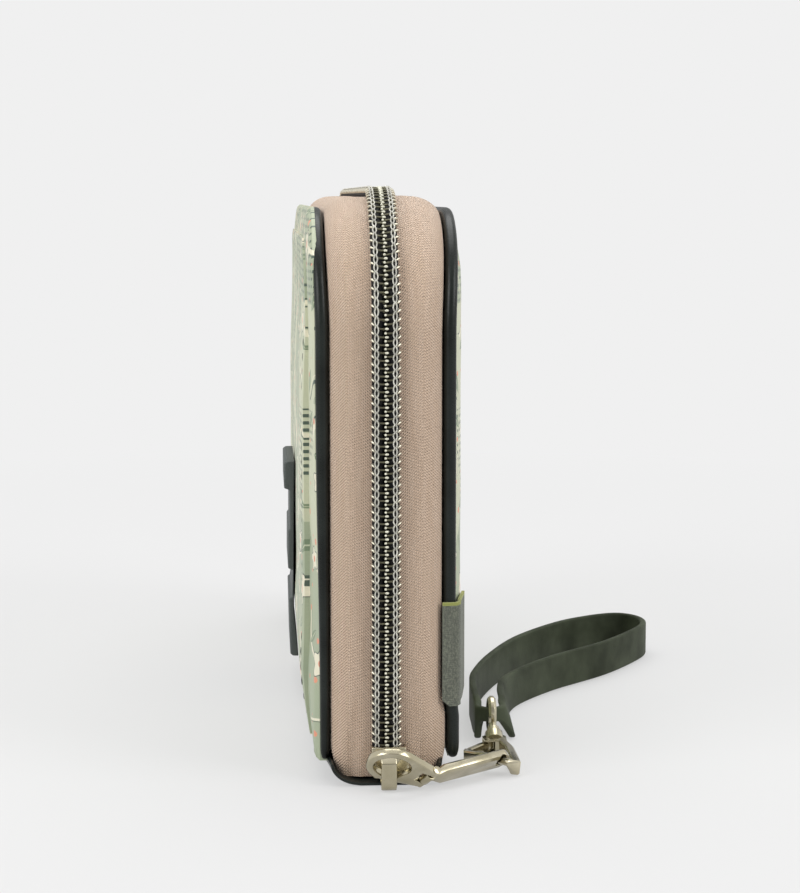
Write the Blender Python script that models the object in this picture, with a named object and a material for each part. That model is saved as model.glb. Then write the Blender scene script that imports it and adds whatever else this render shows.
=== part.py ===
"""Travel wallet with a zip closing on three sides, a pull chain, a snap hook and a wrist strap.

Lengths here are millimetres; every mesh is scaled to metres when its object is made. The wallet
stands on its spine: X is its thickness, Y its length, Z its height, and the origin is the middle
of the flat underside of the spine. The near end, with the zip slider, is at -Y.
"""
import math

import bmesh
import bpy
from mathutils import Matrix, Vector

MM = 0.001
GAP = 0.3

# The shell of the wallet, seen from its large side (Y and Z).
HALF_LENGTH = 98.5
TOP_Z = 118.0
CORNER_R = 25.0
HALF_BOTTOM_Z = 5.1
CORNER_STEPS = 7
SIDE_STEPS = 3

# Layers of one half, measured outwards from the middle plane (X).
BINDING_IN = 11.5
BINDING_OUT = 14.1
BINDING_DEPTH = 3.6
BINDING_SLOT = 0.5
BINDING_SLOT_DEPTH = 1.8
COVER_BACK = 11.9
COVER_RIM = 13.5
COVER_TONGUE = 0.28
FRONT_EDGE_PUFF = 0.9
FRONT_DOME = 1.3
BACK_EDGE_PUFF = 2.5
BACK_DOME = 0.2
PUFF_REACH = 11.0
DOME_REACH = 20.0
BOTTOM_REACH = 22.0
BOTTOM_DRAW = 1.1
PANEL_THICK = 1.0
PANEL_LIFT = 0.4
BOARD_OUT = 11.6
BOARD_THICK = 0.8
LINING_THICK = 0.6
POCKET_THICK = 0.5

# The zip, offset outwards from the outline of the binding.
TAPE_THICK = 0.6
TAPE_RISE = 1.9
TAPE_EDGE_X = 1.6
TAPE_ROOT_DEPTH = 3.2
TAPE_BOTTOM_Z = 2.2
TAPE_CURVE_X = 5.5
TAPE_CURVE_RISE = 3.9
COIL_HEIGHT = 2.0
COIL_HALF_WIDTH = 3.1
COIL_ROOT_X = 2.5
COIL_TIP_X = 0.9
COIL_BOTTOM_Z = 5.2
TOOTH_PITCH = 1.58

# The spine strip.
SPINE_PROUD = 0.9
SPINE_LENGTH = 2.0 * (HALF_LENGTH + TAPE_RISE + SPINE_PROUD)
SPINE_END_HALF = 11.6
SPINE_MID_HALF = 14.7
SPINE_EASE = 20.0
SPINE_TOP_Z = 4.5
SPINE_THICK = 1.6
FOLD_X = 14.7
FOLD_Z = 4.8

# Front slip pocket and moulded patch.
FRONT_POCKET_HALF = HALF_LENGTH - 10.0
FRONT_POCKET_TOP = TOP_Z - 6.5
FRONT_POCKET_BOTTOM = 7.5
FRONT_POCKET_R = 20.0
PATCH_HALF = 17.0
PATCH_FACE = (
    (9.5, 17.0), (10.0, 17.6), (23.5, 18.4), (24.0, 17.8), (30.5, 17.8), (31.0, 19.0),
    (40.2, 19.0), (40.7, 18.6), (50.0, 18.6), (50.5, 19.9), (56.5, 19.9), (57.0, 19.2),
)

# Side label round the back binding.
LABEL_BOTTOM = 15.6
LABEL_TOP = 37.3
LABEL_THICK = 0.6

# Inner pockets.
CARD_HALF = HALF_LENGTH - 12.5
CARD_BOTTOM = 9.0
CARD_TOPS = (94.0, 78.0, 62.0)
CARD_BACK_TOP = 104.0
PASSPORT_TOP = 80.0
COIN_HALF = CARD_HALF - 2.0
COIN_TOP = 102.0
COIN_ZIP_Z = 91.0
COIN_SLOT_HALF = 3.2
COIN_SLOT_END = COIN_HALF - 10.0
COIN_COIL_HALF = 2.2
COIN_COIL_THICK = 1.2
COIN_PITCH = 2.6

# Zip slider.
SLIDER_TOP_Z = 8.3
SLIDER_NECK_Z = 6.2
SLIDER_SHOULDER_Z = (4.4, 3.2)
SLIDER_BOTTOM_Z = 1.9
SLIDER_REAR_HALF = 3.75
SLIDER_SHOULDER_HALF = 4.6
SLIDER_NOSE_HALF = 3.0
SLIDER_PLATE = 1.2
FLANGE_IN = 3.4
FLANGE_WALL = 1.1
FLANGE_CLEAR = 0.5
WEDGE_HALF = 1.0
WEDGE_TIP = 0.3
WEDGE_LEVELS = (2.5, 3.3, 4.6)
CROWN_HALF = 1.6
CROWN_THICK = 0.9
CROWN_REACH = 5.8
CROWN_TOP_Z = 7.3
CROWN_LOW_Z = 1.1


def near(x, y, z):
    """Point whose Y counts from the near end of the outline."""
    return Vector((x, y - HALF_LENGTH, z))


# Pull link: a ring plate with a fork at one end, in its own plane (u along it, v across it).
LINK_CENTRE = near(0.9, -11.4, 6.15)
LINK_ALONG = Vector((0.865, 0.302, -0.402))
LINK_ACROSS = Vector((-0.494, 0.654, -0.572))
LINK_R = 5.4
LINK_HOLE_R = 3.8
LINK_THICK = 1.6
LINK_PIN_U = 8.4
LINK_SHOULDER = math.radians(34.0)
FORK_HALF = 2.95
FORK_GAP_HALF = 1.75
FORK_ROOT_U = 6.2
FORK_R = 1.05
PIN_R = 0.5
PIN_HEAD_R = 0.9
PIN_PLAY = 0.2
SWING_AT = near(0.0, -7.9, 3.4)

# Pull bar between the link and the hook.
BAR_EYE = near(23.6, 3.4, 3.2)
BAR_WIDTH = 4.6
BAR_THICK = 2.2
BAR_LEAN = math.radians(45.0)
BAR_EYE_R = 1.4
BAR_PAST_EYE = 2.6

# Snap hook.
BOW_R = 0.8
BOW_BEFORE = 3.9
BOW_AFTER = 3.4
HOOK_HEIGHT = 3.0
HOOK_THICK = 1.8
HOOK_MID_Z = 1.8
HOOK_LEFT_LEG = ((18.3, 12.3), (18.2, 10.3))
HOOK_RIGHT_LEG = ((27.3, 1.6), (27.5, 8.5), (27.4, 14.5), (26.5, 20.1), (25.6, 22.5))
SHOULDER = ((22.6, 19.1), (27.4, 19.1), (27.6, 22.9), (26.9, 24.1), (23.3, 24.1), (22.4, 22.9))
GATE_AT = near(23.5, 20.9, HOOK_MID_Z)
GATE_ARM = ((21.7, 18.9), (18.9, 14.9), (18.3, 12.8))
GATE_THICK = 1.4
GATE_HEIGHT = 1.8
GATE_PIN_R = 0.4
GATE_PLAY = 0.2
STEM = near(25.1, 24.5, 3.4)
STEM_RISE = math.radians(29.0)
STEM_R = 0.9
BOSS_R = 2.0
COLLAR_R = 1.4
EYE_WIRE_R = 0.85
EYE_AHEAD = 6.3
EYE_HALF_DEPTH = 2.8
EYE_HALF_HEIGHT = 3.6
EYE_STEPS = 20

# Wrist strap: half plan from the eye along the far side, round the end and back.
STRAP_HEIGHT = 8.6
STRAP_THICK = 1.6
STRAP_BOTTOM_Z = 0.3
STRAP_PINCH = 3.2
STRAP_LEAN = 2.4
STRAP_PLAN = (
    (22.6, 31.9), (22.6, 37.5), (22.9, 46.0), (23.4, 56.0), (24.9, 66.0), (30.2, 84.1),
    (39.1, 105.3), (51.7, 123.7), (62.0, 132.8), (69.6, 135.9), (74.0, 132.0), (75.0, 124.5),
    (71.5, 115.0), (60.5, 97.9), (45.5, 81.3), (35.5, 67.0), (30.6, 56.5), (28.8, 47.0),
    (28.2, 38.5), (27.6, 31.9),
)

WALLET_HINGE_FRONT = Vector((-FOLD_X, 0.0, FOLD_Z))
WALLET_HINGE_BACK = Vector((FOLD_X, 0.0, FOLD_Z))

for old in list(bpy.data.objects):
    bpy.data.objects.remove(old, do_unlink=True)


def srgb(red, green, blue):
    """Linear colour from 0-255 screen values."""
    channel = []
    for value in (red, green, blue):
        part = value / 255.0
        channel.append(part / 12.92 if part <= 0.04045 else ((part + 0.055) / 1.055) ** 2.4)
    return (*channel, 1.0)


COLOURS = {
    "printed_cloth": (srgb(172, 184, 155), 0.8, 0.0),
    "plain_cloth": (srgb(165, 178, 150), 0.85, 0.0),
    "leather": (srgb(38, 44, 40), 0.45, 0.0),
    "tape": (srgb(205, 178, 160), 0.85, 0.0),
    "coil": (srgb(222, 220, 208), 0.35, 0.0),
    "nickel": (srgb(196, 191, 172), 0.28, 1.0),
    "strap": (srgb(70, 78, 65), 0.55, 0.0),
    "label": (srgb(105, 108, 105), 0.8, 0.0),
    "rubber": (srgb(62, 68, 66), 0.5, 0.0),
    "board": (srgb(150, 140, 120), 0.9, 0.0),
    "lining": (srgb(120, 126, 112), 0.85, 0.0),
}


def material(name, finish):
    """One Principled material of its own for each object."""
    colour, rough, metal = COLOURS[finish]
    mat = bpy.data.materials.new(name + "_" + finish)
    mat.use_nodes = True
    shader = mat.node_tree.nodes["Principled BSDF"]
    shader.inputs["Base Color"].default_value = colour
    shader.inputs["Roughness"].default_value = rough
    shader.inputs["Metallic"].default_value = metal
    return mat


def make(name, bm, finish, origin=None, smooth=35.0):
    """Turn a bmesh in millimetres into a named object whose origin is at the given point."""
    pivot = origin if origin is not None else Vector((0.0, 0.0, 0.0))
    bmesh.ops.remove_doubles(bm, verts=bm.verts, dist=0.001)
    bmesh.ops.recalc_face_normals(bm, faces=bm.faces)
    bmesh.ops.connect_verts_nonplanar(bm, angle_limit=0.0005, faces=bm.faces)
    bmesh.ops.translate(bm, verts=bm.verts, vec=-pivot)
    bmesh.ops.scale(bm, verts=bm.verts, vec=(MM, MM, MM))
    mesh = bpy.data.meshes.new(name)
    bm.to_mesh(mesh)
    bm.free()
    obj = bpy.data.objects.new(name, mesh)
    obj.location = pivot * MM
    bpy.context.collection.objects.link(obj)
    obj.data.materials.append(material(name, finish))
    obj.data.shade_smooth()
    obj.data.set_sharp_from_angle(angle=math.radians(smooth))
    return obj


def ring_edges(bm, points):
    """Vertices and edges of one ring of points."""
    verts = [bm.verts.new(point) for point in points]
    pairs = zip(verts, verts[1:] + verts[:1])
    return [bm.edges.new(pair) for pair in pairs]


def loft(rings, joined=False):
    """Skin rings of points in turn; the ends are filled, or joined to each other."""
    bm = bmesh.new()
    loops = [[bm.verts.new(point) for point in ring] for ring in rings]
    pairs = list(zip(loops, loops[1:]))
    if joined:
        pairs.append((loops[-1], loops[0]))
    else:
        bm.faces.new(loops[0])
        bm.faces.new(loops[-1])
    for first, second in pairs:
        for i in range(len(first)):
            bm.faces.new((first[i - 1], first[i], second[i], second[i - 1]))
    bmesh.ops.recalc_face_normals(bm, faces=bm.faces)
    return bm


def plate(outline, holes, low, high, place=None):
    """Fill an outline with holes, give it thickness and put it in place."""
    bm = bmesh.new()
    edges = ring_edges(bm, [(u, v, low) for u, v in outline])
    if holes:
        for hole in holes:
            edges += ring_edges(bm, [(u, v, low) for u, v in hole])
        bmesh.ops.triangle_fill(bm, edges=edges, use_beauty=True)
    else:
        bmesh.ops.contextual_create(bm, geom=edges)
    grown = bmesh.ops.extrude_face_region(bm, geom=bm.faces[:])
    moved = [item for item in grown["geom"] if isinstance(item, bmesh.types.BMVert)]
    bmesh.ops.translate(bm, verts=moved, vec=(0.0, 0.0, high - low))
    if place is not None:
        bmesh.ops.transform(bm, matrix=place, verts=bm.verts)
    bmesh.ops.recalc_face_normals(bm, faces=bm.faces)
    return bm


def circle(radius, steps):
    """Points of a circle in a plane."""
    turn = 2.0 * math.pi / steps
    return [(radius * math.cos(i * turn), radius * math.sin(i * turn)) for i in range(steps)]


def frame_at(origin, along, across):
    """Matrix whose X is along, Y across (made square to it) and Z their normal."""
    x_axis = along.normalized()
    y_axis = (across - x_axis * across.dot(x_axis)).normalized()
    z_axis = x_axis.cross(y_axis)
    matrix = Matrix((x_axis, y_axis, z_axis)).transposed().to_4x4()
    matrix.translation = origin
    return matrix


def rod(start, end, radius, steps=12):
    """Round rod between two points."""
    axis = end - start
    turn = axis.to_track_quat("Z", "Y").to_matrix().to_4x4()
    turn.translation = start
    return plate(circle(radius, steps), [], 0.0, axis.length, turn)


def temp_object(bm):
    """Scratch object for a boolean step."""
    mesh = bpy.data.meshes.new("scratch")
    bm.to_mesh(mesh)
    bm.free()
    obj = bpy.data.objects.new("scratch", mesh)
    bpy.context.collection.objects.link(obj)
    return obj


def combine(base, others, operation):
    """Boolean of bmeshes with the exact solver, returned as a bmesh."""
    body = temp_object(base)
    for other in others:
        tool = temp_object(other)
        step = body.modifiers.new("step", "BOOLEAN")
        step.operation = operation
        step.solver = "EXACT"
        step.object = tool
        graph = bpy.context.evaluated_depsgraph_get()
        mesh = bpy.data.meshes.new_from_object(body.evaluated_get(graph))
        body.modifiers.remove(step)
        body.data = mesh
        bpy.data.objects.remove(tool, do_unlink=True)
    bm = bmesh.new()
    bm.from_mesh(body.data)
    bpy.data.objects.remove(body, do_unlink=True)
    bmesh.ops.dissolve_limit(bm, angle_limit=0.002, verts=bm.verts, edges=bm.edges)
    return bm


def union(base, *others):
    """Join overlapping bodies into one."""
    return combine(base, others, "UNION")


def cut(base, *tools):
    """Cut bodies out of another."""
    return combine(base, tools, "DIFFERENCE")


def section(half_w, half_h, chamfer=0.586):
    """Rectangle with cut corners; the default chamfer makes a near-round rod of it."""
    c = min(half_w, half_h) * chamfer
    return [
        (half_w, half_h - c), (half_w - c, half_h), (c - half_w, half_h), (-half_w, half_h - c),
        (-half_w, c - half_h), (c - half_w, -half_h), (half_w - c, -half_h), (half_w, c - half_h),
    ]


def sweep(points, profiles, up, joined=False):
    """Carry one profile per point along a path; each corner is mitred."""
    rings = []
    count = len(points)
    for i, point in enumerate(points):
        before = points[i - 1] if joined or i else None
        after = points[(i + 1) % count] if joined or i < count - 1 else None
        back = (point - before).normalized() if before is not None else None
        ahead = (after - point).normalized() if after is not None else None
        if back is None:
            back = ahead
        if ahead is None:
            ahead = back
        along = (back + ahead).normalized()
        stretch = 1.0 / max(0.5, along.dot(ahead))
        side = along.cross(up).normalized()
        top = side.cross(along).normalized()
        rings.append([point + side * (w * stretch) + top * h for w, h in profiles[i]])
    return loft(rings, joined)


def wall_path(bottom, corner_steps=CORNER_STEPS, side_steps=SIDE_STEPS):
    """Points (y, z) and outward normals round three sides of the wallet, near end first."""
    stations = []
    reach = HALF_LENGTH - CORNER_R
    rise = TOP_Z - CORNER_R
    for i in range(side_steps):
        stations.append((-HALF_LENGTH, bottom + (rise - bottom) * i / side_steps, -1.0, 0.0))
    for i in range(corner_steps + 1):
        turn = 0.5 * math.pi * i / corner_steps
        y_dir, z_dir = -math.cos(turn), math.sin(turn)
        stations.append((-reach + CORNER_R * y_dir, rise + CORNER_R * z_dir, y_dir, z_dir))
    for i in range(1, side_steps):
        stations.append((-reach + 2.0 * reach * i / side_steps, TOP_Z, 0.0, 1.0))
    stations += [(-y, z, -ny, nz) for y, z, ny, nz in reversed(stations[: side_steps + corner_steps + 1])]
    return stations


def wall_sweep(profile, side, bottom, end_lift=None):
    """Carry a profile of (outward offset, x) round the three sides of one half."""
    rings = []
    path = wall_path(bottom)
    for i, (y, z, ny, nz) in enumerate(path):
        lifts = [0.0] * len(profile)
        if end_lift is not None and i in (0, len(path) - 1):
            lifts = [end_lift(x) for _, x in profile]
        ring = [(side * x, y + n * ny, z + n * nz + up) for (n, x), up in zip(profile, lifts)]
        rings.append(ring)
    return loft(rings)


def smooth_step(value):
    """Ease from 0 to 1."""
    t = min(1.0, max(0.0, value))
    return t * t * (3.0 - 2.0 * t)


def cover_out(side, inset, z):
    """How far the padded cover stands out from the middle plane, by the distance from its rim."""
    edge, dome = (FRONT_EDGE_PUFF, FRONT_DOME) if side < 0 else (BACK_EDGE_PUFF, BACK_DOME)
    held = max(0.0, inset)
    puff = math.sin(0.5 * math.pi * min(1.0, held / PUFF_REACH)) ** 0.8
    rise = math.sin(0.5 * math.pi * min(1.0, held / DOME_REACH))
    low = 0.4 + 0.6 * smooth_step((z - HALF_BOTTOM_Z) / BOTTOM_REACH)
    return COVER_RIM + (edge * puff + dome * rise) * low


def cover_at(side, y, z):
    """How far the padded cover stands out at a place on the large side."""
    reach, rise = HALF_LENGTH - CORNER_R, TOP_Z - CORNER_R
    inside = min(HALF_LENGTH - abs(y), TOP_Z - z)
    if abs(y) > reach and z > rise:
        inside = CORNER_R - math.hypot(abs(y) - reach, z - rise)
    drawn = min(inside - BINDING_DEPTH - GAP, (z - HALF_BOTTOM_Z) / BOTTOM_DRAW)
    return cover_out(side, drawn, z)


def half_outline(inset, bottom_inset):
    """Closed outline (y, z) of one half, drawn in by an inset."""
    bottom = HALF_BOTTOM_Z + bottom_inset
    return [(y - inset * ny, z - inset * nz) for y, z, ny, nz in wall_path(bottom)]


def cover(name, side, pivot):
    """Padded cover: flat back, a tongue for the slot of the binding, puffed face."""
    rim = BINDING_DEPTH + GAP
    rings = []
    mid = 0.5 * (BINDING_IN + BINDING_OUT)
    tongue = BINDING_DEPTH - BINDING_SLOT_DEPTH + GAP
    for inset, x in (
        (rim + 2.0, COVER_BACK), (rim, COVER_BACK), (rim, mid - COVER_TONGUE),
        (tongue, mid - COVER_TONGUE), (tongue, mid + COVER_TONGUE), (rim, mid + COVER_TONGUE),
    ):
        rings.append([(side * x, y, z) for y, z in half_outline(inset, max(0.0, inset - rim))])
    for drawn in (0.0, 1.2, 3.0, 6.0, 11.0, 15.0, 20.0):
        points = half_outline(rim + drawn, BOTTOM_DRAW * drawn)
        rings.append([(side * cover_out(side, drawn, z), y, z) for y, z in points])
    make(name, loft(rings), "printed_cloth", pivot)


def panel_outline(half, bottom, top, radius, inset=0.0, steps=5):
    """Outline (y, z) of a sheet with rounded upper corners."""
    reach = half - radius
    points = []
    for i in range(4):
        points.append((-half + inset, bottom + inset + (top - radius - bottom - inset) * i / 4.0))
    for i in range(steps + 1):
        turn = 0.5 * math.pi * i / steps
        r = radius - inset
        points.append((-reach - r * math.cos(turn), top - radius + r * math.sin(turn)))
    return points + [(-y, z) for y, z in reversed(points)]


def flat_sheet(name, side, x_low, thick, outline, finish, pivot, holes=()):
    """Flat sheet standing parallel to the middle plane."""
    bm = plate(outline, list(holes), 0.0, thick)
    # u, v, t become y, z, x
    place = Matrix(((0, 0, 1, side * x_low), (1, 0, 0, 0), (0, 1, 0, 0), (0, 0, 0, 1)))
    if side < 0:
        place = Matrix(((0, 0, -1, -x_low), (1, 0, 0, 0), (0, 1, 0, 0), (0, 0, 0, 1)))
    bmesh.ops.transform(bm, matrix=place, verts=bm.verts)
    make(name, bm, finish, pivot)


def front_pocket():
    """Slip pocket panel lying on the puffed front cover."""
    rings = []
    top = PANEL_LIFT + PANEL_THICK
    for inset, lift in (
        (19.0, PANEL_LIFT + 0.2), (12.0, PANEL_LIFT + 0.3), (6.0, PANEL_LIFT + 0.25), (0.0, PANEL_LIFT),
        (0.0, PANEL_LIFT + 0.6 * PANEL_THICK), (0.6, top), (6.0, top), (12.0, top), (19.0, top),
    ):
        points = panel_outline(
            FRONT_POCKET_HALF, FRONT_POCKET_BOTTOM, FRONT_POCKET_TOP, FRONT_POCKET_R, inset
        )
        rings.append([(-(cover_at(-1.0, y, z) + lift), y, z) for y, z in points])
    make("front_pocket", loft(rings), "printed_cloth", WALLET_HINGE_FRONT)


def front_patch():
    """Moulded patch with three raised bars, drawn as one side view carried across."""
    soft = 0.3
    outline = []
    for z in (PATCH_FACE[-1][0], 27.0, 20.0, 14.5, PATCH_FACE[0][0]):
        outline.append((cover_at(-1.0, 0.0, z) + PANEL_LIFT + PANEL_THICK + GAP, z, 0.0))
    outline += [(x, z, soft) for z, x in PATCH_FACE]
    rings = []
    for y, draw in (
        (-PATCH_HALF, 1.0), (soft - PATCH_HALF, 0.0), (PATCH_HALF - soft, 0.0), (PATCH_HALF, 1.0)
    ):
        rings.append([(draw * give - x, y, z) for x, z, give in outline])
    make("front_patch", loft(rings), "rubber", WALLET_HINGE_FRONT)


def binding(name, side, pivot):
    """Rolled leather edge: a channel open towards the cover."""
    mid = 0.5 * (BINDING_IN + BINDING_OUT)
    slot = BINDING_SLOT
    deep = BINDING_DEPTH
    soft = 0.7
    profile = [
        (-deep, BINDING_IN), (-soft, BINDING_IN), (0.0, BINDING_IN + soft),
        (0.0, BINDING_OUT - soft), (-soft, BINDING_OUT), (-deep, BINDING_OUT),
        (-deep, mid + slot), (BINDING_SLOT_DEPTH - deep, mid + slot),
        (BINDING_SLOT_DEPTH - deep, mid - slot), (-deep, mid - slot),
    ]
    make(name, wall_sweep(profile, side, HALF_BOTTOM_Z), "leather", pivot)


def tape_lift(x):
    """How much higher the lower end of the tape lies towards the binding."""
    part = max(0.0, abs(x) - TAPE_CURVE_X) / (BINDING_IN - GAP - TAPE_CURVE_X)
    return TAPE_CURVE_RISE * part * part


def tape(name, side, pivot):
    """Zip tape: sewn flat inside the binding, then arched over to the coil."""
    root_x = BINDING_IN - GAP - 0.5 * TAPE_THICK
    line = [
        (-TAPE_ROOT_DEPTH, root_x), (-1.3, root_x), (-0.2, root_x - 0.5),
        (0.6 * TAPE_RISE, root_x - 1.9), (TAPE_RISE, root_x - 4.4), (TAPE_RISE, TAPE_EDGE_X),
    ]
    half = 0.5 * TAPE_THICK
    upper, lower = [], []
    for i, (n, x) in enumerate(line):
        ahead = line[min(i + 1, len(line) - 1)]
        behind = line[max(i - 1, 0)]
        dn, dx = ahead[0] - behind[0], ahead[1] - behind[1]
        size = math.hypot(dn, dx)
        upper.append((n - half * dx / size, x + half * dn / size))
        lower.append((n + half * dx / size, x - half * dn / size))
    body = wall_sweep(upper + lower[::-1], side, TAPE_BOTTOM_Z, tape_lift)
    make(name, body, "tape", pivot)


def path_points(spacing, bottom):
    """Evenly spaced stations round the zip, as (y, z, normal y, normal z)."""
    side = TOP_Z - CORNER_R - bottom
    bend = 0.5 * math.pi * CORNER_R
    top = 2.0 * (HALF_LENGTH - CORNER_R)
    total = 2.0 * (side + bend) + top
    count = int(total / spacing)
    stations = []
    for i in range(count + 1):
        run = total * i / count
        mirror = run > 0.5 * total
        short = total - run if mirror else run
        if short <= side:
            y, z, ny, nz = -HALF_LENGTH, bottom + short, -1.0, 0.0
        elif short <= side + bend:
            turn = (short - side) / CORNER_R
            ny, nz = -math.cos(turn), math.sin(turn)
            y, z = CORNER_R - HALF_LENGTH + CORNER_R * ny, TOP_Z - CORNER_R + CORNER_R * nz
        else:
            y, z, ny, nz = CORNER_R - HALF_LENGTH + short - side - bend, TOP_Z, 0.0, 1.0
        stations.append((-y, z, -ny, nz) if mirror else (y, z, ny, nz))
    return stations


def coil(name, side, pivot):
    """One row of the zip: a base on the tape and teeth that mesh past the middle."""
    low = TAPE_RISE + 0.5 * TAPE_THICK + GAP
    high = low + COIL_HEIGHT
    rings = []
    for i, (y, z, ny, nz) in enumerate(path_points(0.5 * TOOTH_PITCH, COIL_BOTTOM_Z)):
        tip = (i % 2 == 0) == (side > 0)
        edge = -COIL_TIP_X if tip else COIL_ROOT_X
        rings.append([
            (side * x, y + n * ny, z + n * nz)
            for n, x in ((low, COIL_HALF_WIDTH), (high, COIL_HALF_WIDTH), (high, edge), (low, edge))
        ])
    make(name, loft(rings), "coil", pivot)


def channel(wide, depth):
    """Right half of the spine's channel section, at a depth inside its outer skin."""
    skin = (
        (0.0, SPINE_TOP_Z, -1.0, 0.0), (0.5, 2.9, -0.93, 0.37), (1.9, 1.4, -0.72, 0.69),
        (4.0, 0.4, -0.4, 0.92), (6.4, 0.0, 0.0, 1.0),
    )
    return [(wide - back + nx * depth, z + nz * depth) for back, z, nx, nz in skin]


def spine_strip(name, depth, thick, half_length, finish):
    """Strip bent to a shallow channel that narrows towards both ends."""
    rings = []
    stations = (-half_length, -half_length + 8.0, -half_length + 14.0, -half_length + SPINE_EASE)
    for y in stations + tuple(-s for s in reversed(stations)):
        ease = smooth_step((0.5 * SPINE_LENGTH - abs(y)) / SPINE_EASE)
        wide = SPINE_END_HALF + (SPINE_MID_HALF - SPINE_END_HALF) * ease
        outer = channel(wide, depth)
        inner = channel(wide, depth + thick)
        ring = [(-x, y, z) for x, z in inner] + [(x, y, z) for x, z in inner[::-1]]
        ring += [(x, y, z) for x, z in outer] + [(-x, y, z) for x, z in outer[::-1]]
        rings.append(ring)
    make(name, loft(rings), finish)


def wallet_halves():
    """Both halves from the cover inwards."""
    for word, side, pivot in (
        ("front", -1.0, WALLET_HINGE_FRONT), ("back", 1.0, WALLET_HINGE_BACK)
    ):
        cover(word + "_cover", side, pivot)
        binding(word + "_binding", side, pivot)
        tape(word + "_tape", side, pivot)
        coil(word + "_coil", side, pivot)
        rim = BINDING_DEPTH + 2.0 * GAP
        flat_sheet(
            word + "_board", side, BOARD_OUT - BOARD_THICK, BOARD_THICK,
            half_outline(rim, GAP), "board", pivot,
        )
        lining_low = BOARD_OUT - BOARD_THICK - GAP - LINING_THICK
        flat_sheet(
            word + "_lining", side, lining_low, LINING_THICK,
            half_outline(1.6, GAP), "lining", pivot,
        )


def card_pockets():
    """Backing and three stepped card slots on the front half."""
    level = BOARD_OUT - BOARD_THICK - GAP - LINING_THICK - GAP - POCKET_THICK
    outline = panel_outline(CARD_HALF, CARD_BOTTOM, CARD_BACK_TOP, 12.0)
    flat_sheet("card_backing", -1.0, level, POCKET_THICK, outline, "plain_cloth", WALLET_HINGE_FRONT)
    for i, top in enumerate(CARD_TOPS):
        level -= POCKET_THICK + GAP
        outline = panel_outline(CARD_HALF, CARD_BOTTOM, top, 3.0, steps=2)
        name = "card_slot_" + str(i + 1)
        flat_sheet(name, -1.0, level, POCKET_THICK, outline, "leather", WALLET_HINGE_FRONT)


def coin_level():
    """Inner face of the coin pocket panel."""
    return BOARD_OUT - BOARD_THICK - LINING_THICK - 2.0 * POCKET_THICK - 3.0 * GAP - 0.2


def back_pockets():
    """Passport pocket, and a coin pocket closed by a small zip, on the back half."""
    level = BOARD_OUT - BOARD_THICK - GAP - LINING_THICK - GAP - POCKET_THICK
    outline = panel_outline(CARD_HALF, CARD_BOTTOM, PASSPORT_TOP, 3.0, steps=2)
    flat_sheet("passport_pocket", 1.0, level, POCKET_THICK, outline, "leather", WALLET_HINGE_BACK)
    outline = panel_outline(COIN_HALF, CARD_BOTTOM, COIN_TOP, 10.0)
    slot = [
        (-COIN_SLOT_END, COIN_ZIP_Z - COIN_SLOT_HALF), (COIN_SLOT_END, COIN_ZIP_Z - COIN_SLOT_HALF),
        (COIN_SLOT_END, COIN_ZIP_Z + COIN_SLOT_HALF), (-COIN_SLOT_END, COIN_ZIP_Z + COIN_SLOT_HALF),
    ]
    x_low = coin_level()
    flat_sheet(
        "coin_pocket", 1.0, x_low, POCKET_THICK, outline, "plain_cloth", WALLET_HINGE_BACK, [slot]
    )
    rings = []
    length = 2.0 * COIN_SLOT_END - 9.0
    count = int(length / COIN_PITCH)
    for i in range(2 * count + 1):
        y = COIN_SLOT_END - 1.0 - length * i / (2.0 * count)
        half = COIN_COIL_HALF if i % 2 else COIN_COIL_HALF - 0.7
        low, high = x_low + POCKET_THICK - COIN_COIL_THICK, x_low + POCKET_THICK
        rings.append([
            (low, y, COIN_ZIP_Z - half), (high, y, COIN_ZIP_Z - half),
            (high, y, COIN_ZIP_Z + half), (low, y, COIN_ZIP_Z + half),
        ])
    make("coin_coil", loft(rings), "coil", WALLET_HINGE_BACK)


def block(low, high):
    """Box from its low and high corners."""
    outline = [(low[0], low[1]), (high[0], low[1]), (high[0], high[1]), (low[0], high[1])]
    return plate(outline, [], low[2], high[2])


def coin_slider():
    """Small slider of the coin pocket, standing at the open end of its zip, and its pull."""
    x_low = coin_level()
    front = x_low + POCKET_THICK - COIN_COIL_THICK - GAP
    rear = x_low + POCKET_THICK + GAP
    y = -COIN_SLOT_END + 3.8
    z = COIN_ZIP_Z
    body = block((front - 0.8, y - 3.4, z - 3.6), (front, y + 3.4, z + 3.6))
    body = union(
        body,
        block((rear, y - 3.0, z - 3.4), (rear + 0.5, y + 3.0, z + 3.4)),
        block((front - 0.1, y - 2.6, z - 0.8), (rear + 0.1, y - 0.2, z + 0.8)),
    )
    bow = [
        Vector((front - 0.4, y, z + 2.6)), Vector((front - 2.0, y, z + 2.2)),
        Vector((front - 2.4, y, z)), Vector((front - 2.0, y, z - 2.2)),
        Vector((front - 0.4, y, z - 2.6)),
    ]
    arch = sweep(bow, [section(0.8, 0.35, 0.3)] * 5, Vector((1.0, 0.0, 0.0)))
    pivot = Vector((front - 1.3, y, z))
    make("coin_slider", union(body, arch), "nickel", pivot)
    outline = [(-1.6, 1.2), (-2.6, -6.0), (-2.6, -15.0), (-1.4, -17.0)]
    outline += [(-u, v) for u, v in reversed(outline)]
    hole = [(-0.9, 0.4), (-1.5, -3.6), (1.5, -3.6), (0.9, 0.4)]
    place = Matrix(((0, 0, 1, front - 1.6), (1, 0, 0, y), (0, 1, 0, z - 0.6), (0, 0, 0, 1)))
    make("coin_pull", plate(outline, [hole], 0.0, 0.6, place), "nickel", pivot)


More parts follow.
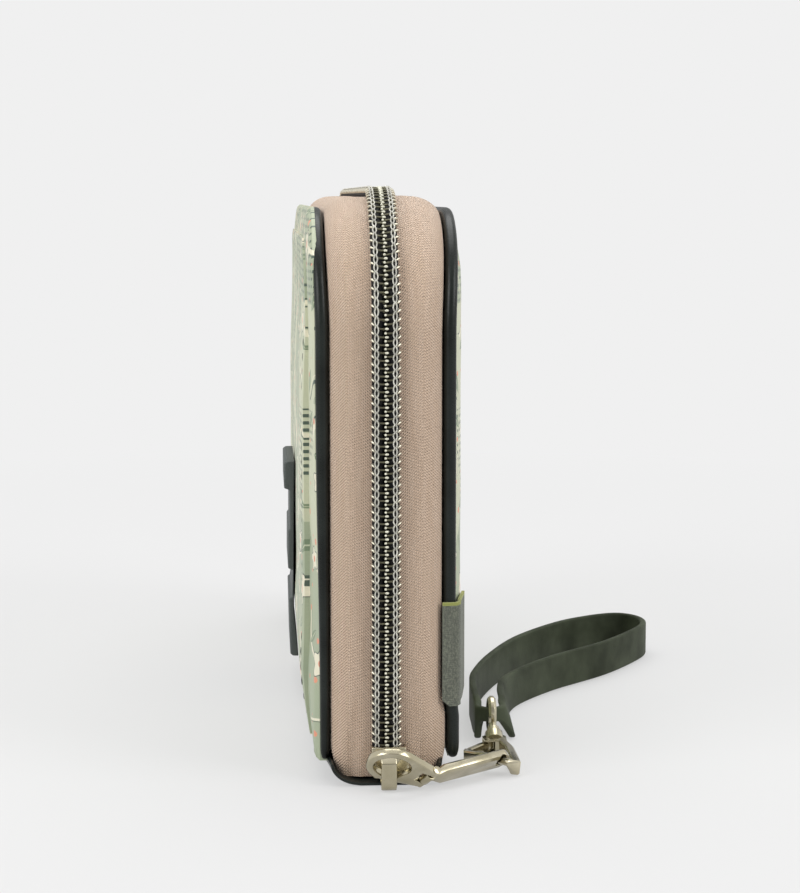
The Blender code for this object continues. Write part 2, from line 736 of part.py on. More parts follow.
def side_label():
    """Folded woven label round the near edge of the back half."""
    face = HALF_LENGTH + GAP + 0.5 * LABEL_THICK
    line = [
        (BINDING_IN + 0.2, -face - 0.1), (12.8, -face - 0.1), (BINDING_OUT, -face + 0.1),
        (BINDING_OUT + 0.75, -face + 1.6), (BINDING_OUT + 0.9, -HALF_LENGTH + BINDING_DEPTH),
    ]
    for inward in (8.4, 13.0):
        y = inward - HALF_LENGTH
        line.append((cover_at(1.0, y, LABEL_TOP) + GAP + 0.5 * LABEL_THICK, y))
    rings = []
    for i, (x, y) in enumerate(line):
        ahead = line[min(i + 1, len(line) - 1)]
        behind = line[max(i - 1, 0)]
        dx, dy = ahead[0] - behind[0], ahead[1] - behind[1]
        size = math.hypot(dx, dy)
        ox, oy = 0.5 * LABEL_THICK * dy / size, -0.5 * LABEL_THICK * dx / size
        trim = 1.2 if i in (0, len(line) - 1) else 0.0
        inner, outer = (x - ox, y - oy), (x + ox, y + oy)
        low, high = LABEL_BOTTOM + trim, LABEL_TOP
        rings.append([(*inner, low), (*outer, low), (*outer, high), (*inner, high)])
    make("side_label", loft(rings), "label", WALLET_HINGE_BACK)


def zip_slider():
    """Body with two plates, side flanges and the wedge that parts the rows; crown on its face."""
    back_y = -HALF_LENGTH - TAPE_RISE + 0.5 * TAPE_THICK
    inner_face = back_y + GAP
    tape_face = -HALF_LENGTH - TAPE_RISE - 0.5 * TAPE_THICK
    outer_face = tape_face - GAP - COIL_HEIGHT - GAP
    high, low = SLIDER_SHOULDER_Z
    flank = [
        (SLIDER_REAR_HALF, SLIDER_TOP_Z), (SLIDER_REAR_HALF, SLIDER_NECK_Z),
        (SLIDER_SHOULDER_HALF, high), (SLIDER_SHOULDER_HALF, low),
    ]
    half = flank + [(SLIDER_NOSE_HALF, SLIDER_BOTTOM_Z)]
    outline = half + [(-x, z) for x, z in reversed(half)]
    # u, v, t become x, z, -y
    place = Matrix(((1, 0, 0, 0), (0, 0, -1, 0), (0, 1, 0, 0), (0, 0, 0, 1)))
    face = plate(outline, [], -outer_face, -outer_face + SLIDER_PLATE, place)
    parts = [plate(outline, [], -inner_face - SLIDER_PLATE, -inner_face, place)]
    inside = SLIDER_SHOULDER_HALF - FLANGE_WALL
    for way in (-1.0, 1.0):
        rim = flank + [(inside, low), (inside, high), (FLANGE_IN, SLIDER_NECK_Z), (FLANGE_IN, SLIDER_TOP_Z)]
        rim = [(way * x, z) for x, z in rim]
        parts.append(plate(rim, [], FLANGE_CLEAR - tape_face, -outer_face + 0.1, place))
    heel, chest, tip = WEDGE_LEVELS
    wedge = [(WEDGE_HALF, heel), (WEDGE_HALF, chest), (WEDGE_TIP, tip)]
    wedge += [(-x, z) for x, z in reversed(wedge)]
    parts.append(plate(wedge, [], -inner_face - 0.1, -outer_face + 0.1, place))
    pivot = Vector((0.0, 0.5 * (inner_face + outer_face), SLIDER_BOTTOM_Z))
    make("slider_body", union(face, *parts), "nickel", pivot)
    root = outer_face - SLIDER_PLATE - GAP - 0.1
    far = outer_face - CROWN_REACH + 0.5 * CROWN_THICK
    line = [
        (root, CROWN_TOP_Z - 0.2), (root - 0.6, CROWN_TOP_Z), (far + 1.0, CROWN_TOP_Z - 0.2),
        (far, CROWN_TOP_Z - 1.4), (far, CROWN_LOW_Z + 1.0), (far + 0.9, CROWN_LOW_Z),
        (root - 0.6, CROWN_LOW_Z + 0.1), (root, CROWN_LOW_Z + 0.6),
    ]
    bands = [section(CROWN_HALF, 0.5 * CROWN_THICK, 0.35)] * len(line)
    crown = sweep_flat([Vector((0.0, y, z)) for y, z in line], bands)
    make("slider_crown", crown, "nickel", pivot)


def sweep_flat(points, profiles):
    """Carry profiles along a path lying in a plane of constant x, widths along x."""
    rings = []
    last = len(points) - 1
    for i, point in enumerate(points):
        back = (point - points[i - 1]).normalized() if i else (points[1] - point).normalized()
        ahead = (points[i + 1] - point).normalized() if i < last else back
        along = (back + ahead).normalized()
        side = Vector((1.0, 0.0, 0.0))
        top = along.cross(side).normalized()
        stretch = 1.0 / max(0.5, along.dot(ahead))
        rings.append([point + side * w + top * (h * stretch) for w, h in profiles[i]])
    return loft(rings)


LINK_FRAME = frame_at(LINK_CENTRE, LINK_ALONG, LINK_ACROSS)
PIN_AT = LINK_FRAME @ Vector((LINK_PIN_U, 0.0, 0.0))
PIN_AXIS = (LINK_FRAME.to_3x3() @ Vector((0.0, 1.0, 0.0))).normalized()


def pull_link():
    """Ring plate with a fork, and the pin across the fork."""
    outline = []
    steps = 20
    for i in range(steps + 1):
        turn = LINK_SHOULDER + (2.0 * math.pi - 2.0 * LINK_SHOULDER) * i / steps
        outline.append((LINK_R * math.cos(turn), LINK_R * math.sin(turn)))
    tip = LINK_PIN_U
    outline += [
        (tip, -FORK_HALF), (tip, -FORK_GAP_HALF), (FORK_ROOT_U, -FORK_GAP_HALF),
        (FORK_ROOT_U, FORK_GAP_HALF), (tip, FORK_GAP_HALF), (tip, FORK_HALF),
    ]
    half = 0.5 * LINK_THICK
    body = plate(outline, [circle(LINK_HOLE_R, steps)], -half, half)
    knuckles = []
    for way in (-1.0, 1.0):
        low = Vector((tip, way * FORK_GAP_HALF, 0.0))
        high = Vector((tip, way * FORK_HALF, 0.0))
        knuckles.append(rod(low, high, FORK_R, 14))
    body = union(body, *knuckles)
    through = Vector((0.0, 2.0 * FORK_HALF, 0.0))
    middle = Vector((tip, 0.0, 0.0))
    body = cut(body, rod(middle - through, middle + through, PIN_R + PIN_PLAY))
    bmesh.ops.transform(body, matrix=LINK_FRAME, verts=body.verts)
    make("pull_link", body, "nickel", SWING_AT)
    end = PIN_AXIS * (FORK_HALF + GAP)
    shank = rod(PIN_AT - end - PIN_AXIS * 0.1, PIN_AT + end, PIN_R)
    head = rod(PIN_AT - end - PIN_AXIS * 0.5, PIN_AT - end, PIN_HEAD_R)
    make("link_pin", union(shank, head), "nickel", SWING_AT)


def pull_bar():
    """Flat bar with a knuckle round the pin and an eye for the hook."""
    reach = (BAR_EYE - PIN_AT).length
    along = (BAR_EYE - PIN_AT).normalized()
    flat = bow_axis(along)
    normal = flat * math.cos(BAR_LEAN) - Vector((0.0, 0.0, 1.0)) * math.sin(BAR_LEAN)
    normal = (normal - along * normal.dot(along)).normalized()
    width = normal.cross(along).normalized()
    first_normal = PIN_AXIS.cross(along).normalized()
    start_width = PIN_AXIS if PIN_AXIS.dot(width) > 0.0 else -PIN_AXIS
    start_normal = first_normal if first_normal.dot(normal) > 0.0 else -first_normal
    half_w, half_t = 0.5 * BAR_WIDTH, 0.5 * BAR_THICK
    end = reach + BAR_PAST_EYE
    stations = (
        (0.9, 1.4, 0.6, 0.0), (1.9, 1.45, 0.7, 0.15), (3.9, half_w, half_t, 1.0),
        (end - 1.6, half_w, half_t, 1.0), (end - 0.5, 0.72 * half_w, half_t, 1.0),
        (end, 0.44 * half_w, 0.8 * half_t, 1.0),
    )
    rings = []
    for t, wide, thick, blend in stations:
        across = (start_width * (1.0 - blend) + width * blend).normalized()
        through = (start_normal * (1.0 - blend) + normal * blend).normalized()
        through = (through - across * through.dot(across)).normalized()
        centre = PIN_AT + along * t
        rings.append([centre + across * w + through * h for w, h in section(wide, thick, 0.4)])
    clear = PIN_AXIS * (FORK_GAP_HALF - GAP)
    body = union(loft(rings), rod(PIN_AT - clear, PIN_AT + clear, FORK_R, 14))
    bore = rod(PIN_AT - 3.0 * clear, PIN_AT + 3.0 * clear, PIN_R + PIN_PLAY)
    hole = rod(BAR_EYE - flat * 4.0, BAR_EYE + flat * 4.0, BAR_EYE_R, 14)
    make("pull_bar", cut(body, bore, hole), "nickel", PIN_AT)
    return flat


def bow_axis(along):
    """Level direction square to the bar in plan."""
    return Vector((along.y, -along.x, 0.0)).normalized()


def snap_hook(bow):
    """Hook body with a round bow, flat legs and a bored shoulder; gate and swivel eye."""
    z = HOOK_MID_Z
    upright = Vector((0.0, 0.0, 1.0))
    tall = 0.5 * HOOK_HEIGHT
    flat = section(0.5 * HOOK_THICK, tall, 0.35)
    start = BAR_EYE - bow * BOW_BEFORE
    end = BAR_EYE + bow * BOW_AFTER
    left = [near(x, y, z) for x, y in HOOK_LEFT_LEG]
    round_part = [start + bow * 0.9, start + bow * 2.2, end - bow * 1.4, end]
    right = [near(x, y, z) for x, y in HOOK_RIGHT_LEG]
    sizes = [flat] * len(left) + [section(BOW_R, BOW_R)] * len(round_part) + [flat] * len(right)
    body = sweep(left + round_part + right, sizes, upright)
    axis = Vector((0.0, math.cos(STEM_RISE), math.sin(STEM_RISE)))
    outline = [(x, y - HALF_LENGTH) for x, y in SHOULDER]
    body = union(body, plate(outline, [], z - tall, z + tall), rod(STEM - axis * 2.3, STEM, BOSS_R, 14))
    bore = rod(STEM - axis * 1.9, STEM + axis * 2.0, STEM_R + GAP)
    room = 0.5 * GATE_HEIGHT + GAP
    jaw = block(near(20.0, 17.9, z - room), near(24.9, 22.2, z + room))
    through = upright * (tall + 0.5)
    hole_r = GATE_PIN_R + GATE_PLAY
    body = cut(body, bore, jaw, rod(GATE_AT - through, GATE_AT + through, hole_r, 10))
    make("hook_body", body, "nickel", BAR_EYE)
    pin = rod(GATE_AT - upright * tall, GATE_AT + upright * tall, GATE_PIN_R, 10)
    make("gate_pin", pin, "nickel", BAR_EYE)
    arm = [GATE_AT] + [near(x, y, z) for x, y in GATE_ARM]
    bar = section(0.5 * GATE_THICK, 0.5 * GATE_HEIGHT, 0.35)
    gate = sweep(arm, [bar] * len(arm), upright)
    knuckle = upright * (0.5 * GATE_HEIGHT)
    gate = union(gate, rod(GATE_AT - knuckle, GATE_AT + knuckle, 1.0))
    gate = cut(gate, rod(GATE_AT - through, GATE_AT + through, hole_r, 10))
    make("hook_gate", gate, "nickel", GATE_AT)
    centre = STEM + axis * EYE_AHEAD
    up = Vector((0.0, -math.sin(STEM_RISE), math.cos(STEM_RISE)))
    line = []
    for i in range(EYE_STEPS):
        turn = 2.0 * math.pi * i / EYE_STEPS
        out = axis * (EYE_HALF_DEPTH * math.cos(turn)) + up * (EYE_HALF_HEIGHT * math.sin(turn))
        line.append(centre + out)
    wire = section(EYE_WIRE_R, EYE_WIRE_R)
    eyelet = sweep(line, [wire] * EYE_STEPS, Vector((1.0, 0.0, 0.0)), joined=True)
    stem = rod(STEM - axis * 1.4, centre - axis * (EYE_HALF_DEPTH - 0.3), STEM_R)
    collar = rod(STEM + axis * 0.4, STEM + axis * 1.6, COLLAR_R)
    make("hook_swivel", union(eyelet, stem, collar), "nickel", STEM)
    return centre, axis


def curve_through(points, steps):
    """Closed Catmull-Rom curve through points, each leg in equal steps."""
    line = []
    count = len(points)
    for i in range(count):
        a, b, c, d = (points[(i + k - 1) % count] for k in range(4))
        for j in range(steps):
            t = j / steps
            line.append(0.5 * (
                2.0 * b + (c - a) * t + (2.0 * a - 5.0 * b + 4.0 * c - d) * t * t
                + (3.0 * b - a - 3.0 * c + d) * t * t * t
            ))
    return line


def wrist_strap(centre, axis):
    """Leather band loop standing on its edge, drawn narrow where it passes the swivel eye."""
    plan = [Vector((centre.x, centre.y, 0.0))]
    plan += [Vector((x, y - HALF_LENGTH, 0.0)) for x, y in STRAP_PLAN]
    line = curve_through(plan, 2)
    count = len(line)
    runs = [0.0]
    for i in range(count):
        runs.append(runs[-1] + (line[(i + 1) % count] - line[i]).length)
    half_w = 0.5 * STRAP_THICK
    pinch = 0.5 * STRAP_PINCH
    still = Vector((0.0, 0.0, 0.0))
    rings = []
    for i, point in enumerate(line):
        away = min(runs[i], runs[-1] - runs[i])
        drop = smooth_step((away - 1.8) / 3.2)
        rise = smooth_step((away - 3.6) / 7.0)
        low = centre.z - pinch + (STRAP_BOTTOM_Z - centre.z + pinch) * drop
        high = centre.z + pinch + (STRAP_BOTTOM_Z + STRAP_HEIGHT - centre.z - pinch) * rise
        tilt = STRAP_LEAN * drop * (1.0 - smooth_step((away - 4.0) / 40.0))
        along = (line[(i + 1) % count] - line[i - 1]).normalized()
        side = Vector((along.y, -along.x, 0.0))
        lean = Vector((tilt if runs[i] > 0.5 * runs[-1] else 0.0, 0.0, 0.0))
        ring = []
        for across, z, foot in (
            (half_w, high, still), (-half_w, high, still), (-half_w, low, lean), (half_w, low, lean)
        ):
            ring.append(point + side * across + foot + Vector((0.0, 0.0, z)))
        rings.append(ring)
    bar = centre + axis * EYE_HALF_DEPTH
    pivot = Vector((bar.x, bar.y, STRAP_BOTTOM_Z + 0.5 * STRAP_HEIGHT))
    make("wrist_strap", loft(rings, joined=True), "strap", pivot)


def main():
    """Build every piece."""
    half = 0.5 * SPINE_LENGTH
    spine_strip("spine_panel", 0.0, SPINE_THICK, half, "leather")
    half = HALF_LENGTH - TAPE_ROOT_DEPTH - 2.4
    spine_strip("spine_lining", SPINE_THICK + GAP, LINING_THICK, half, "lining")
    wallet_halves()
    front_pocket()
    front_patch()
    card_pockets()
    back_pockets()
    side_label()
    coin_slider()
    zip_slider()
    pull_link()
    bow = pull_bar()
    centre, axis = snap_hook(bow)
    wrist_strap(centre, axis)


main()
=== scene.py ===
"""Travel wallet: finishes, cloth, leather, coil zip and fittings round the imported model.

Sizes are in millimetres inside the builders and become metres when a piece is made. X runs
across the wallet's thickness, Y along its length with the zip slider at -Y, and Z up.
"""

import logging
import math
from collections.abc import Callable, Iterable, Sequence
from dataclasses import dataclass, field
from enum import Enum

import bmesh
import bpy
from mathutils import Matrix, Vector, noise


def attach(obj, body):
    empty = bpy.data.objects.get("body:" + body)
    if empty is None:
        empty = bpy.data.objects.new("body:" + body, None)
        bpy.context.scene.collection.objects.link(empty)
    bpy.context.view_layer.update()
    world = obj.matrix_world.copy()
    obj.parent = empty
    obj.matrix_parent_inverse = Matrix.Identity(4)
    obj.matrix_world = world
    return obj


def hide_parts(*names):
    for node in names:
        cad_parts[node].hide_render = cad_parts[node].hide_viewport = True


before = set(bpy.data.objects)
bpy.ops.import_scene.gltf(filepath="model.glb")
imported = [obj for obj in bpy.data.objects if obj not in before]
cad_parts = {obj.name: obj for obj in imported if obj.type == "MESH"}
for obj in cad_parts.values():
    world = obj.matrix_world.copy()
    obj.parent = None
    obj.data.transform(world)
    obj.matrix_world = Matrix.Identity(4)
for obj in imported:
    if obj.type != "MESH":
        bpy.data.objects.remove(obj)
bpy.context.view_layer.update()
LOG = logging.getLogger("wallet")
MM = 0.001

Point = tuple[float, float]
Colour = tuple[float, float, float, float]
Node = bpy.types.Node
Socket = bpy.types.NodeSocket
Vert = bmesh.types.BMVert
Edge = bmesh.types.BMEdge
Face = bmesh.types.BMFace
Shape = bmesh.types.BMesh


def srgb(red: int, green: int, blue: int) -> Colour:
    """Linear colour of screen values.

    Args:
        red: Red, 0 to 255.
        green: Green, 0 to 255.
        blue: Blue, 0 to 255.

    Returns:
        Linear red, green and blue with full alpha.
    """
    parts = [value / 255.0 for value in (red, green, blue)]
    linear = [p / 12.92 if p <= 0.04045 else ((p + 0.055) / 1.055) ** 2.4 for p in parts]
    return (linear[0], linear[1], linear[2], 1.0)


def toned(colour: Colour, factor: float, lift: float = 0.0) -> Colour:
    """Lighter or darker tone of a colour.

    Args:
        colour: Linear colour.
        factor: Factor on its three parts.
        lift: Amount added to them.

    Returns:
        The tone, its parts held at 1, with full alpha.
    """
    parts = [min(1.0, part * factor + lift) for part in colour[:3]]
    return (parts[0], parts[1], parts[2], 1.0)


def ease(value: float) -> float:
    """Smooth step of a value held between 0 and 1."""
    t = min(1.0, max(0.0, value))
    return t * t * (3.0 - 2.0 * t)


class Shade:
    """A Principled material under construction."""

    def __init__(self, name: str, base: Colour, rough: float, metal: float = 0.0) -> None:
        """Start a material.

        Args:
            name: Material name.
            base: Linear base colour.
            rough: Roughness.
            metal: Metallic value.
        """
        self.mat = bpy.data.materials.new(name)
        self.mat.use_nodes = True
        self.tree = self.mat.node_tree
        self.skin = self.tree.nodes["Principled BSDF"]
        self.skin.inputs["Base Color"].default_value = base
        self.skin.inputs["Roughness"].default_value = rough
        self.skin.inputs["Metallic"].default_value = metal
        self.height: Socket | None = None

    def add(self, kind: str, sockets: dict | None = None, **settings: object) -> Node:
        """Add a node and set or link its inputs.

        Args:
            kind: Node type without its ShaderNode prefix.
            sockets: Input name or index to a value or an output socket.
            **settings: Node properties.

        Returns:
            The new node.
        """
        node = self.tree.nodes.new("ShaderNode" + kind)
        for key, value in settings.items():
            setattr(node, key, value)
        for key, value in (sockets or {}).items():
            if isinstance(value, Socket):
                self.tree.links.new(value, node.inputs[key])
            else:
                node.inputs[key].default_value = value
        return node

    def math(self, operation: str, first: object, second: object = 0.0) -> Socket:
        """Output of a Math node on two values."""
        return self.add("Math", {0: first, 1: second}, operation=operation).outputs[0]

    def place(self, scale: Sequence[float] = (1.0, 1.0, 1.0)) -> Socket:
        """Object coordinates in millimetres, scaled.

        Args:
            scale: Factors along the three axes.

        Returns:
            The mapped vector.
        """
        source = self.add("TexCoord").outputs["Object"]
        factors = [s / MM for s in scale]
        return self.add("Mapping", {"Vector": source, "Scale": factors}).outputs[0]

    def run(self, scale: Sequence[float] = (1.0, 1.0, 1.0)) -> Socket:
        """Position along and across a piece in millimetres, from its UV map."""
        source = self.add("TexCoord").outputs["UV"]
        return self.add("Mapping", {"Vector": source, "Scale": scale}).outputs[0]

    def side_view(self) -> Socket:
        """Y and Z of the object, in millimetres, as the first two parts of a vector."""
        part = self.add("SeparateXYZ", {0: self.place()})
        return self.add("CombineXYZ", {0: part.outputs[1], 1: part.outputs[2]}).outputs[0]

    def vector(self, operation: str, first: object, second: object) -> Socket:
        """Vector output of a Vector Math node on two vectors."""
        return self.add("VectorMath", {0: first, 1: second}, operation=operation).outputs["Vector"]

    def length(self, vector: object) -> Socket:
        """Length of a vector."""
        return self.add("VectorMath", {0: vector}, operation="LENGTH").outputs["Value"]

    def waves(self, value: object, pitch: float) -> Socket:
        """Sine of a value that comes round once in each pitch."""
        return self.math("SINE", self.math("MULTIPLY", value, 2.0 * math.pi / pitch))

    def noise(self, vector: object, scale: float, detail: float = 3.0, rough: float = 0.55) -> Socket:
        """Value of a noise texture."""
        sockets = {"Vector": vector, "Scale": scale, "Detail": detail, "Roughness": rough}
        return self.add("TexNoise", sockets).outputs[0]

    def cells(self, vector: object, scale: float, feature: str = "F1", loose: float = 1.0) -> Node:
        """Voronoi node with the given feature."""
        sockets = {"Vector": vector, "Scale": scale, "Randomness": loose}
        return self.add("TexVoronoi", sockets, feature=feature)

    def spread(
        self, value: object, low: float, high: float, to_low: float = 0.0, to_high: float = 1.0,
    ) -> Socket:
        """Value carried from one range to another, held at both ends."""
        sockets = {"Value": value, 1: low, 2: high, 3: to_low, 4: to_high}
        return self.add("MapRange", sockets, clamp=True).outputs[0]

    def mix(self, factor: object, first: object, second: object) -> Socket:
        """Blend of two colours."""
        return self.add("Mix", {0: factor, 6: first, 7: second}, data_type="RGBA").outputs[2]

    def paint(self, colour: object) -> None:
        """Link the base colour."""
        self.tree.links.new(colour, self.skin.inputs["Base Color"])

    def rough(self, value: object) -> None:
        """Link the roughness."""
        self.tree.links.new(value, self.skin.inputs["Roughness"])

    def bump(self, height: object, depth: float) -> None:
        """Add relief, on top of any before.

        Args:
            height: Socket from 0 to 1.
            depth: Height of the relief in millimetres.
        """
        sockets = {"Height": height, "Distance": depth * MM, "Strength": 1.0}
        if self.height is not None:
            sockets["Normal"] = self.height
        self.height = self.add("Bump", sockets).outputs[0]
        self.tree.links.new(self.height, self.skin.inputs["Normal"])

    def set(self, **values: float) -> None:
        """Set constants on the shader, with underscores for spaces in names."""
        for key, value in values.items():
            self.skin.inputs[key.replace("_", " ")].default_value = value


@dataclass(frozen=True)
class Leather:
    """Leather with a fine grain."""

    name: str
    colour: Colour
    rough: float = 0.42
    grain: float = 0.7
    depth: float = 0.05
    gleam: float = 0.22

    def make(self) -> bpy.types.Material:
        """Build the material.

        Returns:
            The material.
        """
        shade = Shade(self.name, self.colour, self.rough)
        place = shade.place()
        pebble = shade.cells(place, 1.0 / self.grain, "SMOOTH_F1").outputs["Distance"]
        fine = shade.noise(place, 3.0 / self.grain, 4.0)
        cloud = shade.noise(place, 0.08, 3.0)
        light = toned(self.colour, 1.55, 0.004)
        dark = toned(self.colour, 0.72)
        shade.paint(shade.mix(shade.spread(cloud, 0.35, 0.68), dark, light))
        shade.rough(shade.spread(fine, 0.3, 0.7, self.rough - 0.07, self.rough + 0.1))
        shade.bump(pebble, self.depth)
        shade.bump(fine, self.depth * 0.6)
        shade.set(Specular_IOR_Level=self.gleam)
        return shade.mat


@dataclass(frozen=True)
class PrintedCloth:
    """Coated cloth in sage with a scattered print of flowers, leaves, curls and dotted fields."""

    name: str = "printed_cloth"
    ground: Colour = srgb(162, 169, 142)
    dim_ground: Colour = srgb(152, 162, 138)
    pale: Colour = srgb(188, 191, 165)
    cream: Colour = srgb(218, 213, 190)
    coral: Colour = srgb(212, 140, 112)
    ink: Colour = srgb(74, 88, 76)
    leaf: Colour = srgb(120, 135, 108)
    thread: float = 2.4
    field_pitch: float = 24.0
    dot_pitch: float = 1.5
    dot: float = 0.24
    fleck_pitch: float = 6.0
    leaf_pitch: float = 8.5
    leaf_half: float = 3.1
    flower_pitch: float = 15.0
    flower_size: float = 2.4
    petals: float = 5.0

    def make(self) -> bpy.types.Material:
        """Build the material.

        Returns:
            The material.
        """
        shade = Shade(self.name, self.ground, 0.5)
        flat = shade.side_view()
        colour = self.fields(shade, flat)
        colour = self.curls(shade, flat, colour)
        colour = self.leaves(shade, flat, colour)
        colour = self.flowers(shade, flat, colour)
        shade.paint(colour)
        weave = shade.add("TexChecker", {"Vector": flat, "Scale": self.thread}).outputs[1]
        shade.bump(weave, 0.015)
        shade.bump(shade.noise(flat, 0.35, 4.0), 0.1)
        shade.set(Specular_IOR_Level=0.45, Sheen_Weight=0.08)
        return shade.mat

    def scatter(
        self, shade: Shade, flat: Socket, pitch: float, loose: float,
    ) -> tuple[Socket, Sequence[Socket]]:
        """Cells of the print.

        Args:
            shade: Material under construction.
            flat: Place on the cloth in millimetres.
            pitch: Mean spacing of the cells.
            loose: Share of disorder.

        Returns:
            Offset from the middle of the cell, and three random values of the cell.
        """
        cell = shade.cells(flat, 1.0 / pitch, loose=loose)
        cell.voronoi_dimensions = "2D"
        offset = shade.vector("SUBTRACT", flat, cell.outputs["Position"])
        random = shade.add("SeparateColor", {0: cell.outputs["Color"]})
        return offset, random.outputs

    def fields(self, shade: Shade, flat: Socket) -> Socket:
        """Ground with paler fields, some of them dotted.

        Args:
            shade: Material under construction.
            flat: Place on the cloth in millimetres.

        Returns:
            Colour of the ground.
        """
        cell = shade.cells(flat, 1.0 / self.field_pitch)
        cell.voronoi_dimensions = "2D"
        cell.distance = "MANHATTAN"
        random = shade.add("SeparateColor", {0: cell.outputs["Color"]}).outputs
        cloud = shade.noise(flat, 0.05, 2.0)
        colour = shade.mix(shade.spread(cloud, 0.35, 0.65), self.ground, self.dim_ground)
        colour = shade.mix(shade.math("GREATER_THAN", random[0], 0.62), colour, self.pale)
        dots = shade.cells(flat, 1.0 / self.dot_pitch, loose=0.0)
        dots.voronoi_dimensions = "2D"
        dot = shade.math("LESS_THAN", dots.outputs["Distance"], self.dot)
        dotted = shade.math("MULTIPLY", dot, shade.math("GREATER_THAN", random[1], 0.6))
        return shade.mix(dotted, colour, self.ink)

    def curls(self, shade: Shade, flat: Socket, colour: Socket) -> Socket:
        """Cream curls edged with thin ink strokes, and coral flecks.

        Args:
            shade: Material under construction.
            flat: Place on the cloth in millimetres.
            colour: Colour below.

        Returns:
            Colour with them laid over.
        """
        swell = shade.math("FRACT", shade.math("MULTIPLY", shade.noise(flat, 0.03, 1.0), 9.0))
        shown = shade.math("GREATER_THAN", shade.noise(flat, 0.06, 0.0), 0.46)
        for middle, half, tint in ((0.5, 0.05, self.cream), (0.585, 0.013, self.ink)):
            band = shade.math("ABSOLUTE", shade.math("SUBTRACT", swell, middle))
            line = shade.math("MULTIPLY", shade.math("LESS_THAN", band, half), shown)
            colour = shade.mix(line, colour, tint)
        offset, random = self.scatter(shade, flat, self.fleck_pitch, 1.0)
        size = shade.math("MULTIPLY", random[0], 0.7)
        fleck = shade.math("LESS_THAN", shade.length(offset), size)
        return shade.mix(fleck, colour, self.coral)

    def leaves(self, shade: Shade, flat: Socket, colour: Socket) -> Socket:
        """Pointed leaves lying every way, each with a pale midrib.

        Args:
            shade: Material under construction.
            flat: Place on the cloth in millimetres.
            colour: Colour below.

        Returns:
            Colour with them laid over.
        """
        offset, random = self.scatter(shade, flat, self.leaf_pitch, 0.9)
        angle = shade.math("MULTIPLY", random[0], 2.0 * math.pi)
        turned = shade.add("VectorRotate", {"Vector": offset, "Angle": angle}, rotation_type="Z_AXIS")
        part = shade.add("SeparateXYZ", {0: turned.outputs[0]})
        along = shade.math("DIVIDE", part.outputs[0], self.leaf_half)
        room = shade.math("SUBTRACT", 1.0, shade.math("MULTIPLY", along, along))
        wide = shade.math("ABSOLUTE", part.outputs[1])
        inside = shade.math("LESS_THAN", wide, shade.math("MULTIPLY", room, 0.95))
        shown = shade.math("GREATER_THAN", random[1], 0.35)
        colour = shade.mix(shade.math("MULTIPLY", inside, shown), colour, self.leaf)
        rib = shade.math("LESS_THAN", shade.math("MULTIPLY", wide, 8.0), room)
        return shade.mix(shade.math("MULTIPLY", rib, shown), colour, self.pale)

    def flowers(self, shade: Shade, flat: Socket, colour: Socket) -> Socket:
        """Five-petalled flowers in cream with an ink outline and a coral middle.

        Args:
            shade: Material under construction.
            flat: Place on the cloth in millimetres.
            colour: Colour below.

        Returns:
            Colour with them laid over.
        """
        offset, random = self.scatter(shade, flat, self.flower_pitch, 0.75)
        part = shade.add("SeparateXYZ", {0: offset})
        angle = shade.math("ARCTAN2", part.outputs[1], part.outputs[0])
        turn = shade.math("MULTIPLY_ADD", random[0], 6.28)
        shade.tree.links.new(shade.math("MULTIPLY", angle, self.petals), turn.node.inputs[2])
        size = shade.math("MULTIPLY_ADD", random[1], 1.4)
        size.node.inputs[2].default_value = self.flower_size
        wave = shade.spread(shade.math("COSINE", turn), -1.0, 1.0, 0.62, 1.0)
        edge = shade.math("MULTIPLY", size, wave)
        away = shade.length(offset)
        shown = shade.math("GREATER_THAN", random[2], 0.2)
        outer = shade.math("LESS_THAN", away, shade.math("ADD", edge, 0.28))
        colour = shade.mix(shade.math("MULTIPLY", outer, shown), colour, self.ink)
        petal = shade.math("LESS_THAN", away, edge)
        colour = shade.mix(shade.math("MULTIPLY", petal, shown), colour, self.cream)
        heart = shade.math("LESS_THAN", away, shade.math("MULTIPLY", size, 0.27))
        return shade.mix(shade.math("MULTIPLY", heart, shown), colour, self.coral)


@dataclass(frozen=True)
class WovenCloth:
    """Plain woven cloth whose threads cross at a set spacing."""

    name: str
    colour: Colour
    thread: float = 0.45
    fuzz: float = 0.3

    def make(self) -> bpy.types.Material:
        """Build the material.

        Returns:
            The material.
        """
        shade = Shade(self.name, self.colour, 0.85)
        place = shade.place()
        part = shade.add("SeparateXYZ", {0: place})
        warp = shade.math("ABSOLUTE", shade.waves(part.outputs[1], 2.0 * self.thread))
        weft = shade.math("ABSOLUTE", shade.waves(part.outputs[2], 2.0 * self.thread))
        check = shade.add("TexChecker", {"Vector": place, "Scale": 1.0 / self.thread}).outputs[1]
        over = shade.add("Mix", {0: check, 2: warp, 3: weft}, data_type="FLOAT").outputs[0]
        tone = shade.noise(place, 0.6, 5.0)
        dark = toned(self.colour, 0.6)
        base = shade.mix(shade.spread(tone, 0.3, 0.7), dark, toned(self.colour, 1.2))
        # painted shade: darker where the threads dip between crossings
        shade.paint(shade.mix(shade.spread(over, 0.0, 0.5, 0.35, 0.0), base, dark))
        shade.bump(over, 0.12)
        shade.set(Sheen_Weight=self.fuzz, Sheen_Roughness=0.5, Specular_IOR_Level=0.25)
        return shade.mat


